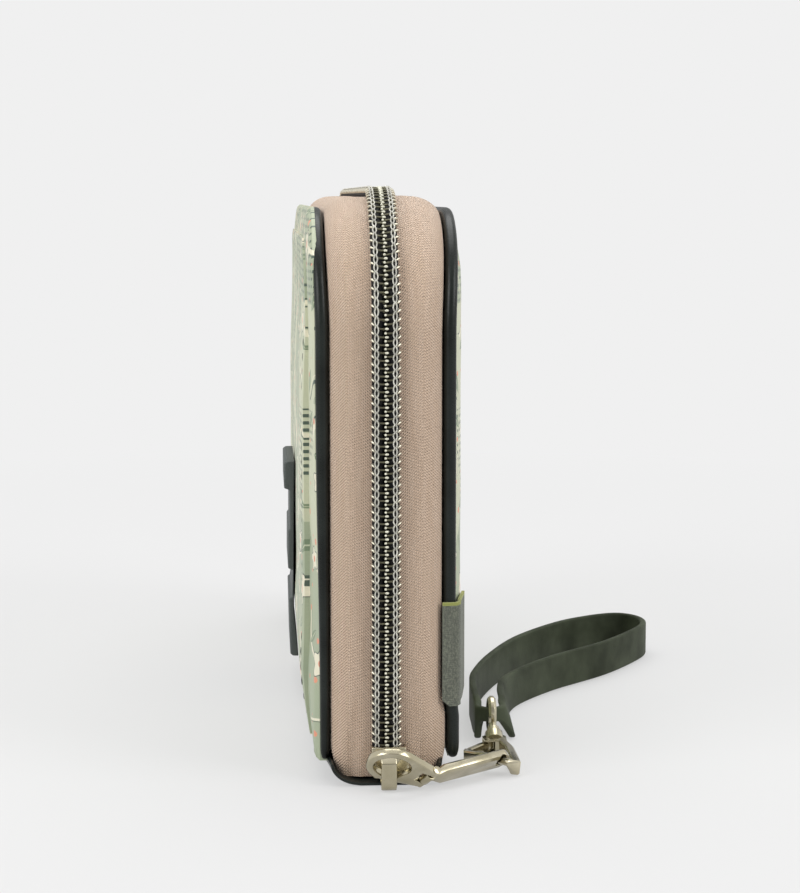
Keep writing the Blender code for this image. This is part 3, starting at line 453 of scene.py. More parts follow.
@dataclass(frozen=True)
class ZipTape:
    """Herringbone tape: fine twill ribs that meet in one ridge line along its middle."""

    name: str = "zip_tape"
    colour: Colour = srgb(206, 181, 158)
    light: Colour = srgb(216, 193, 172)
    dark: Colour = srgb(168, 140, 116)
    rib: float = 0.62
    thread: float = 0.45
    ridge: float = 7.8
    slant: float = 1.05

    def make(self) -> bpy.types.Material:
        """Build the material.

        Returns:
            The material.
        """
        shade = Shade(self.name, self.colour, 0.8)
        part = shade.add("SeparateXYZ", {0: shade.run()})
        along, across = part.outputs[0], part.outputs[1]
        zigzag = shade.math("ABSOLUTE", shade.math("SUBTRACT", across, self.ridge))
        lean = shade.math("ADD", along, shade.math("MULTIPLY", zigzag, self.slant))
        ribs = shade.spread(shade.waves(lean, self.rib), -1.0, 1.0)
        threads = shade.spread(shade.waves(across, self.thread), -1.0, 1.0)
        tone = shade.noise(shade.run((0.12, 1.2, 1.0)), 1.0, 4.0)
        lint = shade.noise(shade.run((3.0, 3.0, 1.0)), 1.0, 2.0)
        base = shade.mix(shade.spread(tone, 0.3, 0.7), self.colour, self.light)
        # painted shade: darker in the valleys between the ribs
        base = shade.mix(shade.spread(ribs, 0.0, 0.6, 0.55, 0.0), base, self.dark)
        base = shade.mix(shade.spread(lint, 0.35, 0.6, 0.3, 0.0), base, self.dark)
        shade.paint(base)
        shade.bump(ribs, 0.2)
        shade.bump(threads, 0.05)
        shade.set(Sheen_Weight=0.3, Sheen_Roughness=0.45, Specular_IOR_Level=0.3)
        return shade.mat


@dataclass(frozen=True)
class CoilWire:
    """Metallic coil wire, dark along the middle, with a painted highlight at the outer curls."""

    name: str = "coil_wire"
    colour: Colour = srgb(104, 101, 82)
    dull: Colour = srgb(84, 82, 66)
    # colour of the painted highlight on the outer curls
    gleam: Colour = srgb(214, 209, 190)
    rough: float = 0.3
    highlight_start: float = 2.1
    highlight_full: float = 2.6

    def make(self) -> bpy.types.Material:
        """Build the material.

        Returns:
            The material.
        """
        shade = Shade(self.name, self.colour, self.rough, 0.7)
        place = shade.place()
        tone = shade.noise(place, 0.9, 3.0)
        away = shade.math("ABSOLUTE", shade.add("SeparateXYZ", {0: place}).outputs[0])
        # painted highlight: the wire turns to the gleam colour beyond a set distance from the middle
        bright = shade.spread(away, self.highlight_start, self.highlight_full)
        base = shade.mix(shade.spread(tone, 0.35, 0.7), self.colour, self.dull)
        shade.paint(shade.mix(bright, base, self.gleam))
        shade.rough(shade.spread(tone, 0.3, 0.7, self.rough * 0.8, self.rough * 1.5))
        shade.bump(tone, 0.02)
        return shade.mat


@dataclass(frozen=True)
class Plastic:
    """Smooth or satin plastic with a slight tone."""

    name: str
    colour: Colour
    rough: float = 0.3
    relief: float = 0.01
    scale: float = 1.5

    def make(self) -> bpy.types.Material:
        """Build the material.

        Returns:
            The material.
        """
        shade = Shade(self.name, self.colour, self.rough)
        place = shade.place()
        tone = shade.noise(place, self.scale, 4.0)
        shade.paint(shade.mix(shade.spread(tone, 0.35, 0.7), self.colour, toned(self.colour, 0.8)))
        shade.rough(shade.spread(tone, 0.3, 0.7, self.rough * 0.8, self.rough * 1.3))
        shade.bump(tone, self.relief)
        return shade.mat


@dataclass(frozen=True)
class Plated:
    """Warm nickel plating with faint casting waves and fine polishing marks."""

    name: str = "warm_nickel"
    colour: Colour = srgb(187, 180, 158)
    shadow: Colour = srgb(163, 155, 128)
    rough: float = 0.2

    def make(self) -> bpy.types.Material:
        """Build the material.

        Returns:
            The material.
        """
        shade = Shade(self.name, self.colour, self.rough, 1.0)
        place = shade.place()
        tone = shade.noise(place, 0.16, 2.0)
        marks = shade.noise(shade.place((9.0, 1.0, 1.0)), 0.9, 4.0)
        shade.paint(shade.mix(shade.spread(tone, 0.35, 0.7), self.colour, self.shadow))
        shade.rough(shade.spread(marks, 0.3, 0.8, self.rough * 0.8, self.rough * 1.4))
        shade.bump(tone, 0.06)
        return shade.mat


@dataclass(frozen=True)
class LabelCloth:
    """Grey woven label with a yellow-green selvedge along its upper edge."""

    name: str = "woven_label"
    colour: Colour = srgb(104, 108, 102)
    dark: Colour = srgb(84, 87, 79)
    light: Colour = srgb(118, 121, 107)
    selvedge: Colour = srgb(140, 144, 82)
    rib: float = 0.42
    top: float = 37.3

    def make(self) -> bpy.types.Material:
        """Build the material.

        Returns:
            The material.
        """
        shade = Shade(self.name, self.colour, 0.85)
        height = shade.add("SeparateXYZ", {0: shade.place()}).outputs[2]
        ribs = shade.spread(shade.waves(height, self.rib), -1.0, 1.0)
        fuzz = shade.noise(shade.place((1.0, 1.0, 0.6)), 3.4, 6.0, 0.6)
        base = shade.mix(shade.spread(fuzz, 0.42, 0.68), self.dark, self.light)
        edge = shade.spread(height, self.top - 0.75, self.top - 0.55)
        shade.paint(shade.mix(edge, base, self.selvedge))
        shade.bump(ribs, 0.06)
        shade.bump(fuzz, 0.05)
        shade.set(Sheen_Weight=0.15, Specular_IOR_Level=0.2)
        return shade.mat


class Finish(Enum):
    """The finishes used on the wallet."""

    BINDING = Leather("binding_leather", srgb(19, 24, 21), 0.3, 0.5, 0.02)
    SPINE = Leather("spine_leather", srgb(22, 27, 24), 0.38, 0.9, 0.05)
    POCKET = Leather("pocket_leather", srgb(40, 46, 41), 0.5, 0.6, 0.03)
    STRAP = Leather("strap_leather", srgb(53, 58, 45), 0.5, 0.5, 0.02, 0.06)
    # paler edge faces of the strap: painted highlight
    STRAP_EDGE = Leather("strap_edge", srgb(72, 77, 62), 0.5, 0.4, 0.02, 0.1)
    PRINT = PrintedCloth()
    PLAIN = WovenCloth("pocket_cloth", srgb(158, 170, 144))
    LINING = WovenCloth("lining_cloth", srgb(120, 126, 112), 0.3)
    DARK_THREAD = WovenCloth("dark_thread", srgb(44, 52, 46), 0.2, 0.1)
    WHITE_THREAD = WovenCloth("white_thread", srgb(226, 224, 212), 0.2, 0.1)
    TAPE = ZipTape()
    COIL = CoilWire()
    # coil heads coloured near white: a painted highlight on heads of the same wire
    HEAD = Plastic("coil_head", srgb(222, 220, 200), 0.3)
    # cord under the coil, coloured near black: painted shade in the gaps between the turns
    CORE = Plastic("coil_core", srgb(9, 8, 7), 0.8)
    BOARD = Plastic("grey_board", srgb(150, 140, 122), 0.9, 0.03)
    RUBBER = Plastic("moulded_rubber", srgb(66, 72, 70), 0.55, 0.02, 3.0)
    NICKEL = Plated()
    LABEL = LabelCloth()


_MADE: dict[Finish, bpy.types.Material] = {}


def dress(piece: bpy.types.Object, *finishes: Finish) -> None:
    """Give a piece its materials, one slot for each finish.

    Args:
        piece: The piece.
        *finishes: Its finishes, in the order of its slots.
    """
    piece.data.materials.clear()
    for finish in finishes:
        if finish not in _MADE:
            _MADE[finish] = finish.value.make()
        piece.data.materials.append(_MADE[finish])


def piece_from(
    name: str, bm: Shape, finishes: Sequence[Finish], body: str,
    nodes: Sequence[str] = (), smooth: float = 40.0, fix: bool = True,
) -> bpy.types.Object:
    """Make a piece of a bmesh in millimetres, dress it and let it ride.

    Args:
        name: Piece name.
        bm: The shape; it is freed.
        finishes: Finish of each material slot.
        body: CAD body that carries it.
        nodes: CAD nodes that it stands for.
        smooth: Largest angle in degrees that is shaded smooth.
        fix: Whether the normals are worked out again.

    Returns:
        The object.
    """
    if fix:
        bmesh.ops.recalc_face_normals(bm, faces=bm.faces)
    bmesh.ops.scale(bm, verts=bm.verts, vec=(MM, MM, MM))
    mesh = bpy.data.meshes.new(name)
    bm.to_mesh(mesh)
    bm.free()
    mesh.shade_smooth()
    mesh.set_sharp_from_angle(angle=math.radians(smooth))
    obj = bpy.data.objects.new(name, mesh)
    bpy.context.scene.collection.objects.link(obj)
    dress(obj, *finishes)
    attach(obj, body)
    if nodes:
        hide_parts(*nodes)
    LOG.info("%s: %d faces on %s", name, len(mesh.polygons), body)
    return obj


def refine(
    node: str, finish: Finish, body: str, bevel: float, segments: int = 2,
    ease_over: Callable[[Vector], Vector] | None = None,
) -> bpy.types.Object:
    """Piece with a CAD node's form and softened edges.

    Args:
        node: CAD node that it stands for.
        finish: Its finish.
        body: CAD body that carries it.
        bevel: Width of the rounded edges in millimetres.
        segments: Steps round an edge.
        ease_over: Moves each point of the form to its settled place.

    Returns:
        The object.
    """
    bm = bmesh.new()
    bm.from_mesh(bpy.data.objects[node].data)
    bmesh.ops.scale(bm, verts=bm.verts, vec=(1.0 / MM, 1.0 / MM, 1.0 / MM))
    bmesh.ops.remove_doubles(bm, verts=bm.verts, dist=0.002)
    bmesh.ops.dissolve_limit(bm, angle_limit=math.radians(1.0), verts=bm.verts, edges=bm.edges)
    if bevel:
        sharp = [e for e in bm.edges if len(e.link_faces) == 2 and e.calc_face_angle() > 0.5]
        bmesh.ops.bevel(
            bm, geom=sharp, offset=bevel, offset_type="OFFSET", segments=segments, profile=0.5,
            affect="EDGES", clamp_overlap=True, material=-1,
        )
    if ease_over is not None:
        for vert in bm.verts:
            vert.co = ease_over(vert.co)
    return piece_from(node + "_form", bm, [finish], body, [node], 50.0, False)


@dataclass(frozen=True)
class Outline:
    """Shape of one large side of the wallet, and runs along its three closed edges."""

    half: float = 98.5
    top: float = 118.0
    radius: float = 25.0
    bottom: float = 5.1

    def point(self, run: float, out: float, x: float, bottom: float | None = None) -> Vector:
        """Point at a distance along the edge, from the near end up and over.

        Args:
            run: Distance along the outline.
            out: Distance outwards from it.
            x: Place across the thickness.
            bottom: Height where the run starts.

        Returns:
            The point.
        """
        low = self.bottom if bottom is None else bottom
        side = self.top - self.radius - low
        bend = 0.5 * math.pi * self.radius
        span = 2.0 * (self.half - self.radius)
        total = 2.0 * (side + bend) + span
        mirror = 1.0
        if run > 0.5 * total:
            run, mirror = total - run, -1.0
        reach = self.half - self.radius
        if run <= side:
            return Vector((x, mirror * (-self.half - out), low + run))
        if run <= side + bend:
            turn = (run - side) / self.radius
            radius = self.radius + out
            along = mirror * (-reach - radius * math.cos(turn))
            return Vector((x, along, self.top - self.radius + radius * math.sin(turn)))
        return Vector((x, mirror * (-reach + run - side - bend), self.top + out))

    def total(self, bottom: float | None = None) -> float:
        """Length of the whole run.

        Args:
            bottom: Height where the run starts and ends.

        Returns:
            The length.
        """
        low = self.bottom if bottom is None else bottom
        side = self.top - self.radius - low
        return 2.0 * (side + 0.5 * math.pi * self.radius + self.half - self.radius)

    def inward(self, y: float, z: float) -> float:
        """How far a point of the side lies inside the outline, the bottom left aside.

        Args:
            y: Place along the wallet.
            z: Height.

        Returns:
            The distance, below zero outside.
        """
        reach, rise = self.half - self.radius, self.top - self.radius
        if abs(y) > reach and z > rise:
            return self.radius - math.hypot(abs(y) - reach, z - rise)
        return min(self.half - abs(y), self.top - z)

    def locate(self, y: float, z: float, bottom: float) -> float:
        """Run of the outline point nearest to a point on the edge band.

        Args:
            y: Place along the wallet.
            z: Height.
            bottom: Height where the run starts.

        Returns:
            The distance along the outline.
        """
        reach, rise = self.half - self.radius, self.top - self.radius
        side, bend = rise - bottom, 0.5 * math.pi * self.radius
        if z <= rise:
            near = z - bottom
        elif abs(y) <= reach:
            near = side + bend + reach - abs(y)
        else:
            near = side + self.radius * math.atan2(z - rise, abs(y) - reach)
        return near if y < 0.0 else self.total(bottom) - near


OUTLINE = Outline()


def each_once(items: Iterable) -> list:
    """The items in their order, each of them once."""
    return list(dict.fromkeys(items))


def mark_run(bm: Shape, bottom: float, across: Callable[[Vector], float]) -> None:
    """Write a UV map of the run along the edge and the place across it, in millimetres.

    Args:
        bm: The piece.
        bottom: Height where the run starts.
        across: Gives the place across the edge at a point.
    """
    layer = bm.loops.layers.uv.new("run")
    for face in bm.faces:
        for loop in face.loops:
            co = loop.vert.co
            loop[layer].uv = (OUTLINE.locate(co.y, co.z, bottom), across(co))


def carry_round(
    profile: Sequence[Point], side: float, bottom: float, steps: int, corner: int,
) -> Shape:
    """Carry a closed profile of (outward offset, x) round the three sides of a half.

    Args:
        profile: Points of the profile.
        side: -1 for the front half, 1 for the back half.
        bottom: Height of both ends.
        steps: Steps up each end; the long edge has three times as many.
        corner: Steps round each corner.

    Returns:
        The closed body.
    """
    bm = bmesh.new()
    shape = OUTLINE
    verts = [bm.verts.new((side * x, -shape.half - out, bottom)) for out, x in profile]
    edges = [bm.edges.new(pair) for pair in zip(verts, verts[1:] + verts[:1])]
    bm.faces.new(verts)
    rise = shape.top - shape.radius - bottom
    reach = shape.half - shape.radius

    def push(edges: list[Edge], offset: Vector, count: int) -> list[Edge]:
        """Carry the end of the body straight on.

        Args:
            edges: Edges of the end.
            offset: Whole way.
            count: Steps on the way.

        Returns:
            Edges of the new end.
        """
        for _ in range(count):
            grown = bmesh.ops.extrude_edge_only(bm, edges=edges)["geom"]
            moved = [g for g in grown if isinstance(g, Vert)]
            bmesh.ops.translate(bm, verts=moved, vec=offset / count)
            chosen = set(moved)
            edges = [g for g in grown if isinstance(g, Edge) and set(g.verts) <= chosen]
        return edges

    def bend(edges: list[Edge], y: float) -> list[Edge]:
        """Carry the end of the body round a corner.

        Args:
            edges: Edges of the end.
            y: Middle of the corner along the wallet.

        Returns:
            Edges of the new end.
        """
        geom = edges + each_once(v for e in edges for v in e.verts)
        last = bmesh.ops.spin(
            bm, geom=geom, cent=(0.0, y, shape.top - shape.radius), axis=(1.0, 0.0, 0.0),
            angle=-0.5 * math.pi, steps=corner, use_merge=False, use_duplicate=False,
        )["geom_last"]
        return [g for g in last if isinstance(g, Edge)]

    edges = push(edges, Vector((0.0, 0.0, rise)), steps)
    edges = bend(edges, -reach)
    edges = push(edges, Vector((0.0, 2.0 * reach, 0.0)), 3 * steps)
    edges = bend(edges, reach)
    edges = push(edges, Vector((0.0, 0.0, -rise)), steps)
    bmesh.ops.contextual_create(bm, geom=edges)
    bmesh.ops.remove_doubles(bm, verts=bm.verts, dist=0.0005)
    return bm


def stitch_row(
    bm: Shape, spots: Iterable[tuple[Vector, Vector, Vector]], length: float, radius: float,
) -> None:
    """Add stitches to a bmesh.

    Args:
        bm: Receives the stitches.
        spots: Middle, direction and outward normal of each stitch.
        length: Length of a stitch.
        radius: Half its thickness.
    """
    for middle, along, normal in spots:
        x_axis = along.normalized()
        z_axis = (normal - x_axis * normal.dot(x_axis)).normalized()
        turn = Matrix((x_axis, z_axis.cross(x_axis), z_axis)).transposed().to_4x4()
        turn.translation = middle
        size = Matrix.Diagonal((0.5 * length, radius, radius * 0.8, 1.0))
        bmesh.ops.create_icosphere(bm, subdivisions=1, radius=1.0, matrix=turn @ size)


def cut_grid(bm: Shape, faces: Sequence[Face], pitch: float) -> None:
    """Cut flat faces of the YZ plane along a square grid.

    Args:
        bm: The mesh.
        faces: Faces that are cut.
        pitch: Spacing of the cuts in millimetres.
    """
    for axis, normal in ((1, Vector((0.0, 1.0, 0.0))), (2, Vector((0.0, 0.0, 1.0)))):
        geom = list(faces) + each_once(e for f in faces for e in f.edges)
        geom += each_once(v for f in faces for v in f.verts)
        low = min(v.co[axis] for f in faces for v in f.verts)
        high = max(v.co[axis] for f in faces for v in f.verts)
        for i in range(1, int((high - low) / pitch) + 1):
            place = normal * (low + pitch * i)
            cut = bmesh.ops.bisect_plane(bm, geom=geom, dist=0.001, plane_co=place, plane_no=normal)
            geom = cut["geom"]
        faces = [g for g in geom if isinstance(g, Face)]


def shape_of(curve: bpy.types.Curve) -> Shape:
    """Body of a curve with its thickness.

    Args:
        curve: The curve.

    Returns:
        The body as a bmesh.
    """
    holder = bpy.data.objects.new(curve.name, curve)
    mesh = bpy.data.meshes.new_from_object(holder)
    bm = bmesh.new()
    bm.from_mesh(mesh)
    bpy.data.objects.remove(holder)
    return bm


@dataclass
class Half:
    """One half of the wallet: padded cover, rolled binding, tape and coil row."""

    word: str
    side: float
    binding_in: float = 11.5
    binding_out: float = 14.1
    binding_depth: float = 3.6
    cover_back: float = 11.9
    cover_rim: float = 13.5
    edge: float = 0.9
    dome: float = 1.3
    tape_rise: float = 1.9
    tape_thick: float = 0.6
    tape_bottom: float = 1.4
    coil_pitch: float = 1.58
    coil_bottom: float = 5.2
    coil_in: float = -0.22
    coil_out: float = 3.0
    coil_rise: float = 0.62
    head: float = 0.27
    head_half: float = 0.27
    wire: float = 0.22
    thread: float = 0.15
    thread_line: float = 1.88
    stand: float = 0.0
    top_flare: float = 0.6
    flare_from: float = 92.0
    flare_span: float = 22.0
    low_flare: float = 0.0
    foot_to: float = 19.0
    foot_span: float = 6.0
    thinning: float = 0.7
    lap: float = 0.0
    top_lap: float = 0.0
    top_from: float = 98.0
    top_span: float = 16.0
    swell: float = 0.0
    swell_to: float = 34.0
    swell_span: float = 22.0
    puff_reach: float = 11.0
    dome_reach: float = 20.0
    cover_grid: float = 3.2
    cover_steps: int = 150
    groove: float = 2.3
    stitch_pitch: float = 3.1
    stitch: float = 2.3

    def top_share(self, z: float) -> float:
        """Share of the added lap that the cover has at a height; all of it at the top."""
        return ease((z - self.top_from) / self.top_span)

    def rim_at(self, z: float) -> float:
        """How far inside the outline the cover starts at a height.

        Args:
            z: Height in millimetres.

        Returns:
            The inset; a lapped cover hides the binding's seam, and all of its outer side at the top.
        """
        return self.binding_depth + 0.2 - self.lap - self.top_lap * self.top_share(z)

    def flare(self, x: float, z: float) -> float:
        """How much further from the middle a place lies, where the filled wallet spreads.

        Args:
            x: Distance from the middle of the thickness.
            z: Height.

        Returns:
            The distance that it is moved by.
        """
        share = ease((abs(x) - 4.0) / 7.2)
        spread = self.stand + self.top_flare * ease((z - self.flare_from) / self.flare_span)
        return share * (spread + self.low_flare * ease((self.foot_to - z) / self.foot_span))

    def slump(self, z: float) -> float:
        """How far the filled cover sags outward near its bottom, at a height."""
        return self.swell * ease((self.swell_to - z) / self.swell_span)

    def roll_x(self, x: float, z: float) -> float:
        """Place of a point of the rolled binding: spread, and thinner lower down."""
        outer = max(0.0, (x - self.binding_in) / (self.binding_out - self.binding_in))
        return x + self.flare(x, z) - self.thinning * outer * ease((80.0 - z) / 70.0)

    @property
    def body(self) -> str:
        """CAD body of this half."""
        return self.word + "_half"

    def cover_out(self, inset: float, z: float) -> float:
        """How far the cover stands out from the middle of the thickness.

        Args:
            inset: Distance of the place from the cover's rim.
            z: Height.

        Returns:
            The distance.
        """
        held = max(0.0, inset)
        puff = math.sin(0.5 * math.pi * min(1.0, held / self.puff_reach)) ** 0.8
        rise = math.sin(0.5 * math.pi * min(1.0, held / self.dome_reach))
        low = 0.4 + 0.6 * ease((z - OUTLINE.bottom) / 22.0)
        over = 0.3 * self.lap * (1.0 - ease(held / 12.0)) * ease((z - 20.0) / 60.0)
        turned = 1.0 - min(1.0, held / 2.4)
        slump = self.slump(z) * math.sqrt(1.0 - turned * turned)
        settled = over + slump + self.flare(self.cover_rim, z)
        return self.cover_rim + settled + (self.edge * puff + self.dome * rise) * low

    def drawn(self, y: float, z: float) -> float:
        """How far a place on the large side is drawn in from the cover's rim."""
        return min(OUTLINE.inward(y, z) - self.rim_at(z), (z - OUTLINE.bottom) / 1.1)

    def cover_at(self, y: float, z: float) -> float:
        """How far the cover stands out at a place on the large side."""
        return self.cover_out(self.drawn(y, z), z)

    def build(self) -> None:
        """Build all pieces of the half."""
        self.build_cover()
        self.build_binding()
        self.build_tape()
        self.build_coil()
        body = self.body
        refine(self.word + "_lining", Finish.LINING, body, bevel=0.1)
        dress(bpy.data.objects[self.word + "_board"], Finish.BOARD)

    def build_cover(self) -> None:
        """Puffed cloth cover that dives under the binding."""
        bm = bmesh.new()
        total = OUTLINE.total()
        verts = []
        for i in range(self.cover_steps + 1):
            run = total * i / self.cover_steps
            rim = self.rim_at(OUTLINE.point(run, 0.0, 0.0).z)
            verts.append(bm.verts.new(OUTLINE.point(run, -rim, 0.0)))
        face = bm.faces.new(verts)
        for step in (0.4, 0.6, 0.8):
            bmesh.ops.inset_region(bm, faces=[face], thickness=step, use_even_offset=True, use_boundary=True)
        cut_grid(bm, [face], self.cover_grid)
        for vert in bm.verts:
            y, z = vert.co.y, vert.co.z
            drawn = self.drawn(y, z)
            ripple = 0.16 * noise.noise(Vector((y * 0.09, z * 0.09, 3.0 * self.side)))
            pucker = 0.12 * noise.noise(Vector((y * 0.4, z * 0.4, 7.0))) * (1.0 - ease(drawn / 9.0))
            out = self.cover_out(drawn, z) + (ripple + pucker) * ease(drawn / 2.0)
            if self.lap > 0.0:
                out -= 0.4 * (1.0 - ease(drawn / 0.7)) * self.top_share(z)
            vert.co.x = self.side * out
            vert.co.z -= 1.1 * ease((10.0 - z) / 5.0)
        rim_edges = [e for e in bm.edges if e.is_boundary]
        grown = bmesh.ops.extrude_edge_only(bm, edges=rim_edges)["geom"]
        back = [g for g in grown if isinstance(g, Vert)]
        for vert in back:
            z = vert.co.z
            high = self.top_lap * self.top_share(z)
            vert.co.x = self.side * (self.cover_back + 0.9 * high + self.flare(self.cover_back, z))
        rear_edges = [g for g in grown if isinstance(g, Edge) and g.is_boundary]
        bmesh.ops.contextual_create(bm, geom=rear_edges)
        name = self.word + "_cover"
        obj = piece_from(name + "_pad", bm, [Finish.PRINT], self.body, [name], 50.0)

    def build_binding(self) -> None:
        """Rolled leather edge with a groove near its inner line, sewn where no cover laps it."""
        low, high = self.binding_in, self.binding_out
        mid = 0.5 * (low + high)
        half = 0.5 * (high - low)
        deep = -self.binding_depth
        profile: list[Point] = [(deep, high - 0.4), (deep + 0.2, high - 0.12), (deep + 0.5, high - 0.02)]
        profile += [(-2.75, high), (-2.5, high - 0.08), (-self.groove, high - 0.2)]
        profile += [(-2.1, high - 0.08), (-1.8, high + 0.02)]
        for i in range(11):
            turn = math.pi * i / 10.0
            profile.append((-1.25 + 1.25 * math.sin(turn), mid + half * math.cos(turn)))
        profile += [(-2.4, low), (deep, low), (deep, mid)]
        bm = carry_round(profile, self.side, OUTLINE.bottom, 14, 18)
        up = Vector((0.0, 0.0, 1.0))
        for rise in (0.2, 0.5, 0.9, 1.4, 2.2, 4.0, 6.0, 8.0, 10.0, 12.0, 14.0, 17.0):
            geom = list(bm.verts) + list(bm.edges) + list(bm.faces)
            level = Vector((0.0, 0.0, OUTLINE.bottom + rise))
            bmesh.ops.bisect_plane(bm, geom=geom, dist=0.001, plane_co=level, plane_no=up)
        for vert in bm.verts:
            x, z = abs(vert.co.x), vert.co.z
            vert.co.x = self.side * self.roll_x(x, z)
            near_end = 1.0 - min(1.0, (z - OUTLINE.bottom) / 2.2)
            if near_end > 0.0:
                end_x = self.side * self.roll_x(mid, z)
                middle = Vector((end_x, math.copysign(OUTLINE.half - 1.8, vert.co.y), z))
                bent = 1.0 - math.sqrt(max(0.0, 1.0 - near_end * near_end))
                vert.co += (middle - vert.co) * 0.62 * bent
                vert.co.z = z - 0.75 * near_end
        name = self.word + "_binding"
        piece_from(name + "_roll", bm, [Finish.BINDING], self.body, [name], 60.0)
        if self.lap > 0.0:
            return
        spots = []
        total = OUTLINE.total()
        count = int(total / self.stitch_pitch)
        sunk = high - 0.12
        for i in range(count):
            run = total * (i + 0.5) / count
            here = OUTLINE.point(run, -self.groove, 0.0)
            here.x = self.side * self.roll_x(sunk, here.z)
            ahead = OUTLINE.point(min(total, run + 0.5), -self.groove, 0.0)
            ahead.x = self.side * self.roll_x(sunk, ahead.z)
            spots.append((here, ahead - here, Vector((self.side, 0.0, 0.0))))
        bm = bmesh.new()
        stitch_row(bm, spots, self.stitch, 0.16)
        piece_from(name + "_stitches", bm, [Finish.DARK_THREAD], self.body, smooth=80.0)

    def tape_line(self) -> list[Point]:
        """Middle line of the tape.

        Returns:
            Its points as (outward offset, x), from the sewn edge to the coil.
        """
        root = self.binding_in - 0.6
        line = [(-3.2, root), (-1.9, root), (-1.0, root - 0.05)]
        for i in range(1, 13):
            t = i / 12.0
            swell = math.sin(0.5 * math.pi * t) ** 1.15
            line.append((-1.0 + (self.tape_rise + 1.0) * swell, root - 0.05 - 4.6 * t ** 1.5))
        line += [(self.tape_rise, x) for x in (5.6, 4.8, 4.0, 3.2, 2.4, 1.6)]
        return line

    def tape_lift(self, x: float) -> float:
        """How much higher the lower end of the tape lies towards the binding."""
        part = max(0.0, abs(x) - 8.9) / (self.binding_in - 9.5)
        return 4.2 * part ** 2.4

    def build_tape(self) -> None:
        """Herringbone tape arched from the binding to the coil, its lower end curved."""
        line = self.tape_line()
        half = 0.5 * self.tape_thick
        upper, lower = [], []
        for i, (out, x) in enumerate(line):
            ahead, behind = line[min(i + 1, len(line) - 1)], line[max(i - 1, 0)]
            d_out, dx = ahead[0] - behind[0], ahead[1] - behind[1]
            size = math.hypot(d_out, dx)
            upper.append((out - half * dx / size, x + half * d_out / size))
            lower.append((out + half * dx / size, x - half * d_out / size))
        bm = carry_round(upper + lower[::-1], self.side, self.tape_bottom, 30, 22)
        for vert in bm.verts:
            y, z = vert.co.y, vert.co.z
            x = abs(vert.co.x)
            run = OUTLINE.locate(y, z, self.tape_bottom)
            free = ease((self.binding_in - 0.8 - x) / 2.5) * ease((x - 3.6) / 1.6)
            sway = noise.noise(Vector((run * 0.05, 2.0 * self.side, x * 0.12)))
            low = 1.0 - ease((z - self.tape_bottom) / 22.0)
            fold = 0.35 * low * math.sin(1.5 * x + 0.12 * z)
            normal = OUTLINE.point(run, 1.0, 0.0, self.tape_bottom)
            normal -= OUTLINE.point(run, 0.0, 0.0, self.tape_bottom)
            vert.co += normal.normalized() * (min(0.45 * sway + fold, 0.3) * free)
            vert.co.z += self.tape_lift(x) * (1.0 - ease((z - self.tape_bottom) / 14.0))
            vert.co.x = math.copysign(x + self.flare(x, z), self.side)
        mark_run(bm, self.tape_bottom, lambda co: abs(co.x))
        name = self.word + "_tape"
        obj = piece_from(name + "_weave", bm, [Finish.TAPE], self.body, [name], 70.0)

    def build_coil(self) -> None:
        """Spiral row of the zip with its heads, painted bright as a highlight, on a core painted near black
        as the shade between the turns, and the seam that holds it.
        """
        total = OUTLINE.total(self.coil_bottom)
        level = self.tape_rise + 0.5 * self.tape_thick + 0.3 + 1.0
        count = int(total / self.coil_pitch)
        shift = 0.5 if self.side > 0 else 0.0
        middle, reach = 0.5 * (self.coil_in + self.coil_out), 0.5 * (self.coil_out - self.coil_in)
        top = level + self.coil_rise
        points = []
        heads = bmesh.new()
        per = 16
        for i in range(count * per + 1):
            phase = 2.0 * math.pi * (i % per) / per
            x = middle - reach * math.cos(phase)
            climb = 0.63 * max(0.0, (x - 1.15) / (middle + reach - 1.15)) ** 1.3
            if phase > math.pi:
                climb = 0.63 + 0.37 * (phase - math.pi) / math.pi
            along = (i // per + shift + climb) * self.coil_pitch
            out = level + self.coil_rise * math.sin(phase)
            if along > total:
                continue
            points.append(OUTLINE.point(along, out, self.side * x, self.coil_bottom))
            if i % per == 1:
                x = self.side * (self.coil_in - 0.12 + self.head)
                spot = OUTLINE.point(along, top + 0.02, x, self.coil_bottom)
                place = Matrix.Translation(spot)
                place @= Matrix.Diagonal((self.head / self.head_half, 1.0, 1.0, 1.0))
                bmesh.ops.create_icosphere(heads, subdivisions=2, radius=self.head_half, matrix=place)
        self.sweep_wire("_coil_spiral", points, self.wire, Finish.COIL, [self.word + "_coil"])
        # the heads carry a painted highlight colour
        piece_from(self.word + "_coil_heads", heads, [Finish.HEAD], self.body, smooth=80.0)
        turns = (math.pi * k / 4.0 for k in range(8))
        core = [(level - 0.6 + 0.75 * math.sin(t), 1.6 + 1.2 * math.cos(t)) for t in turns]
        bm = carry_round(core, self.side, self.coil_bottom, 12, 14)
        piece_from(self.word + "_coil_core", bm, [Finish.CORE], self.body, smooth=80.0)
        self.build_seam(total, top + 0.7 * self.wire, shift)

    def sweep_wire(
        self, ending: str, points: Sequence[Vector], radius: float, finish: Finish,
        nodes: Sequence[str] = (),
    ) -> None:
        """Make a round wire along points into a piece of this half.

        Args:
            ending: End of the piece's name.
            points: Points along the wire.
            radius: Radius of the wire.
            finish: Its finish.
            nodes: CAD nodes that it stands for.
        """
        curve = bpy.data.curves.new("wire", "CURVE")
        curve.dimensions = "3D"
        curve.bevel_depth = radius
        curve.bevel_resolution = 1
        curve.use_fill_caps = True
        spline = curve.splines.new("POLY")
        spline.points.add(len(points) - 1)
        for spot, co in zip(spline.points, points):
            spot.co = (*co, 1.0)
        piece_from(self.word + ending, shape_of(curve), [finish], self.body, nodes, 80.0)

